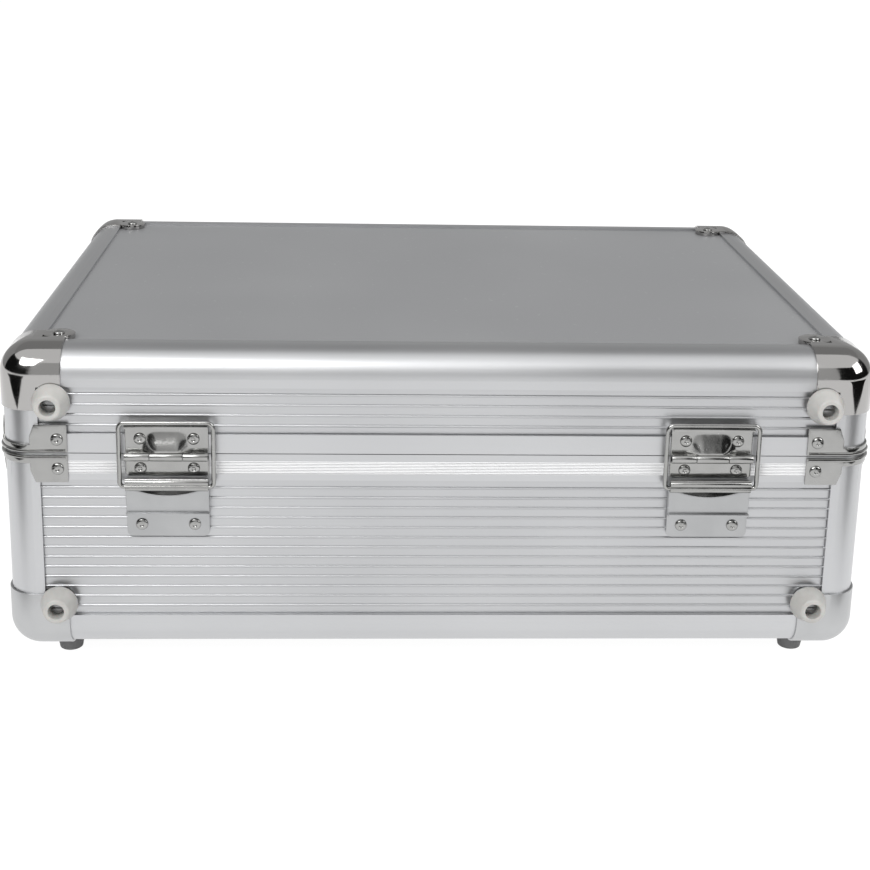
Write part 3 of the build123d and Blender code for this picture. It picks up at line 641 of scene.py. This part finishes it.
# Seam clips: pressed steel bands with a bright nickel plating that wrap each corner beside the seam, with a
# rolled bead along the edge at the seam and a riveted plate on each wall.
nickel, tree, shader, place = paint("bright nickel plating", (0.37, 0.37, 0.362), 1.0, 0.17)
smear = clouded(tree, place, 70.0)
worn = scratched(tree, place, 1100.0, 0.1)
waves = calc(tree, "ADD", blurred(tree, place, 150.0), calc(tree, "MULTIPLY", worn, 0.02))
dress(
    tree,
    shader,
    tinted(tree, smear, (0.345, 0.345, 0.337), (0.40, 0.40, 0.392)),
    spread(tree, calc(tree, "ADD", smear, worn), 0.0, 2.0, 0.13, 0.34),
    raised(tree, waves, 0.00012),
)

worked("body_clips", "case_body", nickel, "bright_steel", 0.00025)
worked("lid_clips", "lid", nickel, "bright_steel", 0.00025)

clip_t, edge_r, bead_r, bead_steps = 0.0012, 0.0155, 0.0009, 12


def bead_path():
    """Places in from a corner of the shell: from one plate's end, round the corner, to the other's."""
    far, bend_r = clip_reach - bead_r, edge_r + clip_t
    angles = [math.radians(90 * k / bead_steps) for k in range(bead_steps + 1)]
    bend = [(edge_r - bend_r * math.sin(a), edge_r - bend_r * math.cos(a)) for a in angles]
    return [(far, -clip_t), *bend, (-clip_t, far)]


def seam_beads(name, height, body):
    """Rolled beads along the seam edge of four clips."""
    wires = []
    for sx, sy in ((-1, -1), (-1, 1), (1, -1), (1, 1)):
        line = bpy.data.curves.new(name, "CURVE")
        line.dimensions = "3D"
        line.bevel_depth = bead_r
        line.bevel_resolution = 3
        line.use_fill_caps = True
        path = line.splines.new("POLY")
        turn = bead_path()
        path.points.add(len(turn) - 1)
        for point, (in_x, in_y) in zip(path.points, turn):
            point.co = (sx * (half_w - in_x), middle_y + sy * (half_d - in_y), height, 1)
        wire = bpy.data.objects.new(name, line)
        scene.collection.objects.link(wire)
        seen = wire.evaluated_get(bpy.context.evaluated_depsgraph_get())
        solid = bpy.data.objects.new(name, bpy.data.meshes.new_from_object(seen))
        bpy.data.objects.remove(wire)
        solid.data.materials.clear()
        solid.data.materials.append(nickel)
        wires.append(solid)
    whole = joined(name, wires)
    settle(whole)
    return belongs(whole, body, "bright_steel")


seam_beads("body_clip_beads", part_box("body_clips")[1].z - bead_r, "case_body")
seam_beads("lid_clip_beads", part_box("lid_clips")[0].z + bead_r, "lid")


# Cones and feet: four pale nylon cones on the hinge wall, which the case stands on when it is set down from
# its handle, and four tapered rubber feet below. Each is held by a screw in its recess.
soft = {"Subsurface_Weight": 0.06, "Subsurface_Scale": 0.002}
nylon, tree, shader, place = paint("pale nylon", (0.42, 0.412, 0.392), 0.0, 0.42, **soft)
grime = clouded(tree, place, 160.0)
dress(
    tree,
    shader,
    tinted(tree, grime, (0.395, 0.387, 0.367), (0.44, 0.432, 0.412)),
    spread(tree, grime, 0.0, 1.0, 0.36, 0.5),
    raised(tree, pebbled(tree, place, 1400.0), 0.00003),
)

rubber, tree, shader, place = paint("grey rubber", (0.17, 0.17, 0.172), 0.0, 0.68)
dust = clouded(tree, place, 120.0)
dress(
    tree,
    shader,
    tinted(tree, dust, (0.15, 0.15, 0.152), (0.20, 0.199, 0.197)),
    spread(tree, dust, 0.0, 1.0, 0.6, 0.78),
    raised(tree, pebbled(tree, place, 1100.0), 0.00006),
)

# The screws are darker than zinc plating: their colour is partly their own dull plating and partly painted
# shade for the recesses they sit in.
screw_steel, tree, shader, place = paint("zinc-plated screws darkened with recess shade", (0.24, 0.24, 0.243), 1.0, 0.3)
worn = scratched(tree, place, 1500.0, 0.3)
dull = spread(tree, calc(tree, "ADD", clouded(tree, place, 300.0), worn), 0.0, 2.0, 0.24, 0.45)
dress(tree, shader, None, dull, raised(tree, worn, 0.000005))

worked("body_cone_feet", "case_body", nylon, "pale_plastic", 0.0004, 3)
worked("lid_cone_feet", "lid", nylon, "pale_plastic", 0.0004, 3)
worked("rubber_feet", "case_body", rubber, "rubber", 0.0006, 3)
worked("body_screws", "case_body", screw_steel, "screw_steel", 0.00015)
worked("lid_screws", "lid", screw_steel, "screw_steel", 0.00015)


# Hinges on the front wall, pressed from nickel-plated steel. The lid's leaf carries the centre knuckle, which
# swells out of the plate, and a shelf for the bail; the body's leaf carries the two side knuckles.
def solid_between(points):
    """A closed solid from two like outlines, one after the other."""
    count = len(points) // 2
    caps = [list(range(count)), list(range(2 * count - 1, count - 1, -1))]
    return meshed("shape", points, ring_faces(count) + caps)


def turned_out(x_from, x_to, outline):
    """A bar along a wall from an outline of places out from the wall and up from the seam."""
    return solid_between([(x, -out, z) for x in (x_from, x_to) for out, z in outline])


def circle_at(out, z, radius, around=40):
    """Points round a circle, out from the wall and up from the seam."""
    angles = [2 * math.pi * k / around for k in range(around)]
    return [(out + radius * math.cos(a), z + radius * math.sin(a)) for a in angles]


def rounded_plate(half, low, high, corner, inner, outer, turns=8):
    """A flat plate with four round corners, between two distances from the wall."""
    outline = []
    for cx, cz, first in ((1, 1, 0), (-1, 1, 90), (-1, -1, 180), (1, -1, 270)):
        mid_x, mid_z = cx * (half - corner), (high - corner) if cz > 0 else (low + corner)
        for k in range(turns + 1):
            a = math.radians(first + 90 * k / turns)
            outline.append((mid_x + corner * math.cos(a), mid_z + corner * math.sin(a)))
    return solid_between([(x, -out, z) for out in (inner, outer) for x, z in outline])


def swelling(half, low, high, back, front, across=56, up=28):
    """A closed plate whose front stands out from the wall by a rule of x and height."""
    points, faces = [], []
    row = up + 1
    for side_out in (True, False):
        for i in range(across + 1):
            x = -half + 2 * half * i / across
            for j in range(row):
                z = low + (high - low) * j / up
                points.append((x, -front(x, z) if side_out else -back(x, z), z))
    shift = (across + 1) * row
    for i in range(across):
        for j in range(up):
            one = i * row + j
            faces.append([one, one + 1, one + row + 1, one + row])
            faces.append([one + shift, one + row + shift, one + row + 1 + shift, one + 1 + shift])
    border = [j for j in range(up)] + [i * row + up for i in range(across)]
    border += [across * row + j for j in range(up, 0, -1)] + [i * row for i in range(across, 0, -1)]
    for one, two in zip(border, border[1:] + border[:1]):
        faces.append([one, two, two + shift, one + shift])
    return meshed("shape", points, faces)


def fitted(name, shapes, side, x, body, slot, finish, node=None, rounding=0.0002, crease=34):
    """Shapes made at the middle of a wall and the seam, joined, rounded and put in their place."""
    finished = []
    for shape in shapes:
        shape.data.materials.append(finish)
        scene.collection.objects.link(shape)
        settle(shape, crease)
        soft = shape.modifiers.new("broken edges", "BEVEL")
        soft.width = rounding
        soft.segments = 2
        soft.limit_method = "ANGLE"
        soft.angle_limit = math.radians(crease)
        finished.append(plain(shape))
    whole = joined(name, finished)
    whole.data.set_sharp_from_angle(angle=math.radians(crease))
    for face in whole.data.polygons:
        face.use_smooth = True
    whole.data.transform(wall_turn(side) @ Matrix.Translation((x, 0, seam)))
    return belongs(whole, body, slot, *([node] if node else []))


plate_t, plate_half, plate_corner, plate_gap = 0.0013, 0.0215, 0.003, 0.00025
clasp_x = (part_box("clasp_base_right")[0].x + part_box("clasp_base_right")[1].x) / 2
knuckle_out, knuckle_r, knuckle_half, side_gap = 0.0044, 0.0024, 0.0084, 0.0003
shelf_top, shelf_out, leaf_low, web_low = 0.017, 0.0062, 0.0114, 0.003
neck_half, neck_blend, bulge_low, bulge_top, bulge_more = 0.0050, 0.0090, 0.0018, 0.0138, 0.0006


def eased(value):
    """0 to 1 with a soft start and end."""
    held = min(max(value, 0.0), 1.0)
    return held * held * (3 - 2 * held)


def leaf_front(x, z):
    """How far the lid's leaf stands out: a plate that swells towards the centre knuckle."""
    narrow = 1 - eased((abs(x) - neck_half) / neck_blend)
    low = 1 - eased((z - bulge_low) / (bulge_top - bulge_low))
    return plate_t + narrow * low * (knuckle_out - plate_t + bulge_more)


def flat_back(x, z):
    """The back of a plate that lies on its wall."""
    return 0.0


def shelf_bar():
    """The shelf that a bail pulls on, as wide as its plate."""
    low = shelf_top - plate_t
    outline = [(0, low), (shelf_out, low), (shelf_out, shelf_top), (0, shelf_top)]
    return turned_out(-plate_half, plate_half, outline)


for hand, x in (("left", -clasp_x), ("right", clasp_x)):
    shelf = shelf_bar()
    leaf = swelling(plate_half, plate_gap, shelf_top - plate_t / 2, flat_back, leaf_front)
    knuckle = turned_out(-knuckle_half, knuckle_half, circle_at(knuckle_out, 0, knuckle_r))
    upper = [leaf, shelf, knuckle]
    node = f"hinge_leaf_upper_{hand}"
    fitted(f"hinge_upper_{hand}", upper, "front", x, "lid", "bright_steel", nickel, node)
    lower = [rounded_plate(plate_half, -leaf_low, -plate_gap, plate_corner / 3, 0, plate_t)]
    web = [
        (0, -plate_gap),
        (0, -web_low),
        (plate_t, -web_low),
        (knuckle_out, -knuckle_r),
        (knuckle_out, 0),
        (knuckle_out - knuckle_r, 0),
    ]
    for s in (-1, 1):
        ends = sorted((s * plate_half, s * (knuckle_half + side_gap)))
        lower.append(turned_out(*ends, circle_at(knuckle_out, 0, knuckle_r)))
        lower.append(turned_out(*ends, web))
    node = f"hinge_leaf_lower_{hand}"
    fitted(f"hinge_lower_{hand}", lower, "front", x, "case_body", "bright_steel", nickel, node)


# Clasps over the hinges and draw latches on the back wall: a base plate, a lever rolled round its pin and
# round the tube for the bail's feet, and a bail bent from wire. The hinge clasps' levers stay shut.
satin_steel, tree, shader, place = paint("satin nickel plating", (0.43, 0.435, 0.44), 1.0, 0.34)
smear = clouded(tree, place, 60.0)
worn = scratched(tree, place, 1300.0, 0.25)
dress(
    tree,
    shader,
    tinted(tree, smear, (0.41, 0.415, 0.42), (0.455, 0.46, 0.465)),
    spread(tree, calc(tree, "ADD", smear, worn), 0.0, 2.0, 0.28, 0.44),
    raised(tree, worn, 0.000004),
)

base_top, base_low, rib_line, rib_inset = 0.0117, 0.0454, 0.0148, 0.0001
pivot_out, pivot_down, pivot_r, lug_half, lug_r = 0.005, 0.0127, 0.0021, 0.008, 0.0018
eye_out, eye_down, eye_r, link_half = 0.0044, 0.0165, 0.0021, 0.0012
lever_out, lever_t, lever_low, lip_out = 0.002, 0.0013, 0.0324, 0.0032
wing_in, window_half, window_drop, eye_lap = 0.0135, 0.0195, 0.0040, 0.6
roll_down, roll_r, second_down, second_r = 0.0140, 0.0017, 0.0171, 0.00175
throat_lap, throat_drop, throat_in, throat_far = 0.0006, 0.0008, 0.0010, 0.0011
keeper_lift = 0.0007


def lever_front(x, z):
    """The outer face of a lever's plate."""
    return lever_out + lever_t


def lever_back(x, z):
    """The inner face of a lever's plate."""
    return lever_out


def lever_shapes():
    """The lever's plate with its curved top edge, and the lip to lift it by."""
    blade = swelling(plate_half, 0, 1, lever_back, lever_front, 60, 10)
    for point in blade.data.vertices:
        share = point.co.z
        within = max(0.0, 1 - (point.co.x / window_half) ** 2)
        edge_z = -eye_down - eye_r * eye_lap - window_drop * within
        point.co.z = -lever_low + share * (edge_z + lever_low)
    lip_end, lip_top = lever_out + lip_out, -lever_low + lever_t
    lip = [(lever_out, -lever_low), (lip_end, -lever_low), (lip_end, lip_top), (lever_out, lip_top)]
    return [blade, turned_out(-plate_half, plate_half, lip)]


def roll_shapes(closed):
    """The rolls round the pin and the tube: a hinge clasp's across the lever, a latch's at its sides."""
    wings = [(-plate_half, -wing_in), (wing_in, plate_half)]
    rolls = [(pivot_out, -pivot_down, pivot_r), (eye_out, -eye_down, eye_r)]
    if closed:
        rolls = [(pivot_out, -roll_down, roll_r), (eye_out, -second_down, second_r)]
    spans = [(-plate_half, plate_half)] if closed else wings
    link = [
        (pivot_out - link_half, -pivot_down),
        (eye_out - link_half, -eye_down),
        (eye_out + link_half, -eye_down),
        (pivot_out + link_half, -pivot_down),
    ]
    shapes = [turned_out(*span, circle_at(*around)) for span in spans for around in rolls]
    return shapes + [turned_out(*wing, link) for wing in wings]


# The throat inside each lever's curl gets near-black steel: painted shade standing for the shadow in the
# curl, not a finish the steel has.
throat_shade_steel, tree, shader, place = paint("steel darkened as painted shade", (0.10, 0.10, 0.10), 1.0, 0.22)
smear = clouded(tree, place, 140.0)
dress(
    tree,
    shader,
    tinted(tree, smear, (0.07, 0.07, 0.07), (0.14, 0.14, 0.138)),
    spread(tree, smear, 0.0, 1.0, 0.18, 0.32),
    raised(tree, blurred(tree, place, 900.0), 0.00001),
)
throat_low = eye_down + eye_r + window_drop + throat_drop
throat = [
    (lever_out - throat_in, -(eye_down + throat_lap)),
    (lever_out - throat_in, -throat_low),
    (lever_out + throat_far, -throat_low),
]
lug_web = [
    (0, -base_top),
    (0, -pivot_down - lug_r),
    (pivot_out, -pivot_down - lug_r),
    (pivot_out, -pivot_down + lug_r),
    (plate_t, -base_top),
]
ribbed_half, ribbed_low = plate_half - rib_inset, -base_low + rib_inset

for kind, side, mirror in (("clasp", "front", 1), ("latch", "back", -1)):
    for hand, x in (("left", -clasp_x * mirror), ("right", clasp_x * mirror)):
        base = [
            rounded_plate(plate_half, -base_low, -base_top, plate_corner, 0, plate_t),
            rounded_plate(ribbed_half, ribbed_low, -rib_line, plate_corner, -skin, plate_t / 2),
        ]
        if kind == "latch":
            base.append(turned_out(-lug_half, lug_half, circle_at(pivot_out, -pivot_down, lug_r)))
            base.append(turned_out(-lug_half, lug_half, lug_web))
        lever_body = "case_body" if kind == "clasp" else f"latch_lever_{hand}"
        throat_bar = [turned_out(-window_half, window_half, throat)]
        for part, shapes, body, finish, node in (
            ("plate", base, "case_body", satin_steel, f"{kind}_base_{hand}"),
            ("blade", lever_shapes(), lever_body, satin_steel, f"{kind}_lever_{hand}"),
            ("rolls", roll_shapes(kind == "clasp"), lever_body, nickel, None),
            ("throat", throat_bar, lever_body, throat_shade_steel, None),
        ):
            fitted(f"{kind}_{part}_{hand}", shapes, side, x, body, "bright_steel", finish, node)
        worked(f"{kind}_bail_{hand}", f"{kind}_bail_{hand}", nickel, "bright_steel", 0.0)
for hand in ("left", "right"):
    worked(f"clasp_tube_{hand}", f"clasp_bail_{hand}", nickel, "bright_steel", 0.0)
keepers = []
for x in (-clasp_x, clasp_x):
    plate = rounded_plate(plate_half, plate_gap + keeper_lift, shelf_top, plate_corner, 0, plate_t)
    for shape in (plate, shelf_bar()):
        shape.data.transform(Matrix.Translation((x, 0, 0)))
        keepers.append(shape)
fitted("keeper_plates", keepers, "back", 0, "lid", "bright_steel", satin_steel, "latch_keepers")
coat_node("hinge_pins", nickel)
coat_node("clasp_pins", nickel)


# Handle on the back wall: two steel brackets riveted to it, each a plate with a pair of ears and a pin,
# flat steel arms that turn on the pins, and a round black plastic grip between the arms.
black_grip, tree, shader, place = paint("black grip", (0.02, 0.02, 0.021), 0.0, 0.45)
rubbed = clouded(tree, place, 60.0)
dress(
    tree,
    shader,
    tinted(tree, rubbed, (0.016, 0.016, 0.017), (0.03, 0.03, 0.031)),
    spread(tree, rubbed, 0.0, 1.0, 0.36, 0.55),
    raised(tree, pebbled(tree, place, 900.0), 0.00008),
)
worked("handle_brackets", "case_body", nickel, "bright_steel", 0.0004)
coat_node("handle_pins", nickel)
worked("handle_arms", "handle", nickel, "bright_steel", 0.0004)
worked("handle_grip", "handle", black_grip, "grip_plastic", 0.002, 4)


# Rivets: steel blind rivets with domed heads, set from outside through the fittings and the sheet. The end
# of the pulled mandrel is sunk in the middle of each head.
rivet_sizes = {
    "Head Radius": 0.0032,
    "Head Height": 0.0014,
    "Rim Height": 0.0003,
    "Shank Radius": 0.0016,
    "Grip": 0.0034,
    "Pit Radius": 0.0011,
    "Pit Depth": 0.0004,
    "Around": 25,
    "Across": 15,
}
dome_end, rim_at, under_span, pit_power = 0.79, 0.78, 0.14, 4.0
riveting, given, made = shape_tree("rivet row", rivet_sizes)
form = partial(calc, riveting)
grid = {"Size X": 1.0, "Size Y": 1.0, "Vertices X": given["Around"], "Vertices Y": given["Across"]}
disc = put(riveting, "GeometryNodeMeshGrid", grid).outputs[0]
point = put(riveting, "GeometryNodeInputPosition").outputs[0]
spot = put(riveting, "ShaderNodeSeparateXYZ", {0: point}).outputs
angle = form("MULTIPLY", form("ADD", spot[0], 0.5), 2 * math.pi)
share = form("ADD", spot[1], 0.5)
on_dome = form("LESS_THAN", share, dome_end)
outward = form("MINIMUM", form("DIVIDE", share, rim_at), 1.0)
inward = form("MINIMUM", form("MULTIPLY", form("SUBTRACT", 1.0, share), 1 / under_span), 1.0)
under = form("MULTIPLY", form("SUBTRACT", 1.0, on_dome), inward)
radius = form("MULTIPLY", form("ADD", form("MULTIPLY", on_dome, outward), under), given["Head Radius"])
fall = form("SUBTRACT", 1.0, form("MULTIPLY", outward, outward))
arch = form("SQRT", form("MAXIMUM", fall, 0.0))
dome = form("MULTIPLY", form("SUBTRACT", given["Head Height"], given["Rim Height"]), arch)
crown = form("ADD", dome, given["Rim Height"])
to_pit = form("POWER", form("DIVIDE", radius, given["Pit Radius"]), pit_power)
pit = form("MULTIPLY", form("MAXIMUM", form("SUBTRACT", 1.0, to_pit), 0.0), given["Pit Depth"])
rise = form("MULTIPLY", on_dome, form("SUBTRACT", crown, pit))
ring_x = form("MULTIPLY", radius, form("COSINE", angle))
ring_y = form("MULTIPLY", radius, form("SINE", angle))
where = put(riveting, "ShaderNodeCombineXYZ", {0: ring_x, 1: ring_y, 2: rise}).outputs[0]
head = put(riveting, "GeometryNodeSetPosition", {"Geometry": disc, "Position": where}).outputs[0]
tube = {"Vertices": 16, "Radius": given["Shank Radius"], "Depth": given["Grip"]}
shank = put(riveting, "GeometryNodeMeshCylinder", tube).outputs[0]
down = put(riveting, "ShaderNodeCombineXYZ", {2: form("MULTIPLY", given["Grip"], -0.5)}).outputs[0]
sunk_shank = put(riveting, "GeometryNodeSetPosition", {"Geometry": shank, "Offset": down}).outputs[0]
rivet = put(riveting, "GeometryNodeJoinGeometry")
riveting.links.new(head, rivet.inputs[0])
riveting.links.new(sunk_shank, rivet.inputs[0])
named = {"Name": "facing"}
facing = put(riveting, "GeometryNodeInputNamedAttribute", named, data_type="FLOAT_VECTOR").outputs[0]
aimed = put(riveting, "FunctionNodeAlignRotationToVector", {"Vector": facing}, axis="Z").outputs[0]
set_in = {"Points": given["Geometry"], "Instance": rivet.outputs[0], "Rotation": aimed}
row = put(riveting, "GeometryNodeInstanceOnPoints", set_in).outputs[0]
close_tree(riveting, row, given, made)

lug_in, clip_in, clip_up, bracket_t = 0.0275, 0.0296, 0.008, 0.0028
plate_x, plate_side = 0.1425, 0.0138
leaf_up, leaf_down, base_down = 0.0088, 0.0074, 0.0386


def wall_spots(side, spots, out):
    """Places on a wall, x to the right as seen from outside, with the way it faces."""
    there = wall_turn(side, out)
    return [(there @ Vector((x, 0, z)), there.to_3x3() @ Vector((0, -1, 0))) for x, z in spots]


plate_drops = {
    ("lid", "front"): (leaf_up,),
    ("lid", "back"): (leaf_up,),
    ("case_body", "front"): (-leaf_down, -base_down),
    ("case_body", "back"): (-base_down,),
}
rivet_spots = {"case_body": [], "lid": []}
for side in sides:
    half = half_w if side in ("front", "back") else half_d
    for s in (-1, 1):
        for body, sign in (("case_body", -1), ("lid", 1)):
            rivet_spots[body] += wall_spots(side, [(s * (half - clip_in), seam + sign * clip_up)], clip_t)
            if side != "front":
                height = shell_low.z + lug_in if sign < 0 else case_top - lug_in
                rivet_spots[body] += wall_spots(side, [(s * (half - lug_in), height)], clip_t)
            xs = [s * plate_x + t * plate_side for t in (-1, 1)]
            on_plates = [(x, seam + drop) for x in xs for drop in plate_drops.get((body, side), ())]
            rivet_spots[body] += wall_spots(side, on_plates, plate_t)
handle_low, handle_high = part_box("handle_brackets")
handle_mid, bracket_x, bracket_rivet = (handle_low.z + handle_high.z) / 2, 0.064, 0.0115
corners = [(s, t) for s in (-1, 1) for t in (-1, 1)]
on_brackets = [(s * bracket_x, handle_mid + t * bracket_rivet) for s, t in corners]
rivet_spots["case_body"] += wall_spots("back", on_brackets, bracket_t - skin)
for s, t in corners:
    seat = Vector((s * (half_w - lug_in), middle_y + t * (half_d - lug_in), case_top + clip_t))
    rivet_spots["lid"].append((seat, Vector((0, 0, 1))))

for body, node in (("case_body", "body_rivets"), ("lid", "lid_rivets")):
    seats = bpy.data.meshes.new(f"{node}_seats")
    seats.from_pydata([place for place, _ in rivet_spots[body]], [], [])
    facing = seats.attributes.new("facing", "FLOAT_VECTOR", "POINT")
    facing.data.foreach_set("vector", [v for _, way in rivet_spots[body] for v in way])
    belongs(grown(f"{node}_domed", riveting, rivet_sizes, nickel, seats), body, "bright_steel", node)


# Lining: foam sheets cut to size and glued in, flat on the floor and round the walls, and an egg-crate pad
# under the lid's top that holds the tools down. The foam is open-celled and charcoal grey.
foam, tree, shader, place = paint("charcoal foam", (0.05, 0.05, 0.053), 0.0, 0.95, Sheen_Weight=0.15)
pores = pebbled(tree, place, 1300.0)
shade = clouded(tree, place, 35.0)
dress(
    tree,
    shader,
    tinted(tree, calc(tree, "MULTIPLY", pores, shade), (0.03, 0.03, 0.032), (0.075, 0.075, 0.08)),
    spread(tree, shade, 0.0, 1.0, 0.88, 1.0),
    raised(tree, pores, 0.0005),
)


def foam_sheet(node, name, body):
    """A foam pad in the room of its node, with rounded edges."""
    return worked(node, body, foam, "foam", 0.0012, 3, name=name)


foam_sheet("floor_pad", "floor_foam", "case_body")
foam_sheet("wall_pads", "wall_foam", "case_body")

pad_low, pad_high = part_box("lid_pad")
pad_half, pad_deep, pad_t = pad_high.x, (pad_high.y - pad_low.y) / 2, pad_high.z - pad_low.z
crate_pitch, crate_depth, crate_border, crate_edge_r = 0.031, 0.0078, 0.010, 0.003
crate_across, crate_along = 190, 136


def crate_front(x, y):
    """How far the egg-crate foam stands down: peaks and hollows inside a flat border with a soft edge."""
    to_edge = min(pad_half - abs(x), pad_deep - abs(y))
    wave = 0.5 - 0.5 * math.cos(2 * math.pi * x / crate_pitch) * math.cos(2 * math.pi * y / crate_pitch)
    hollow = crate_depth * wave * eased((to_edge - crate_border) / crate_border)
    return pad_t - hollow - crate_edge_r * (1 - eased(to_edge / crate_edge_r))


crate = swelling(pad_half, -pad_deep, pad_deep, flat_back, crate_front, crate_across, crate_along)
scene.collection.objects.link(crate)
crate.name = crate.data.name = "lid_foam"
crate.data.materials.append(foam)
facing_down = Matrix.Rotation(math.radians(90), 4, "X")
crate.data.transform(Matrix.Translation((0, (pad_low.y + pad_high.y) / 2, pad_high.z)) @ facing_down)
settle(crate)
belongs(crate, "lid", "foam", "lid_pad")
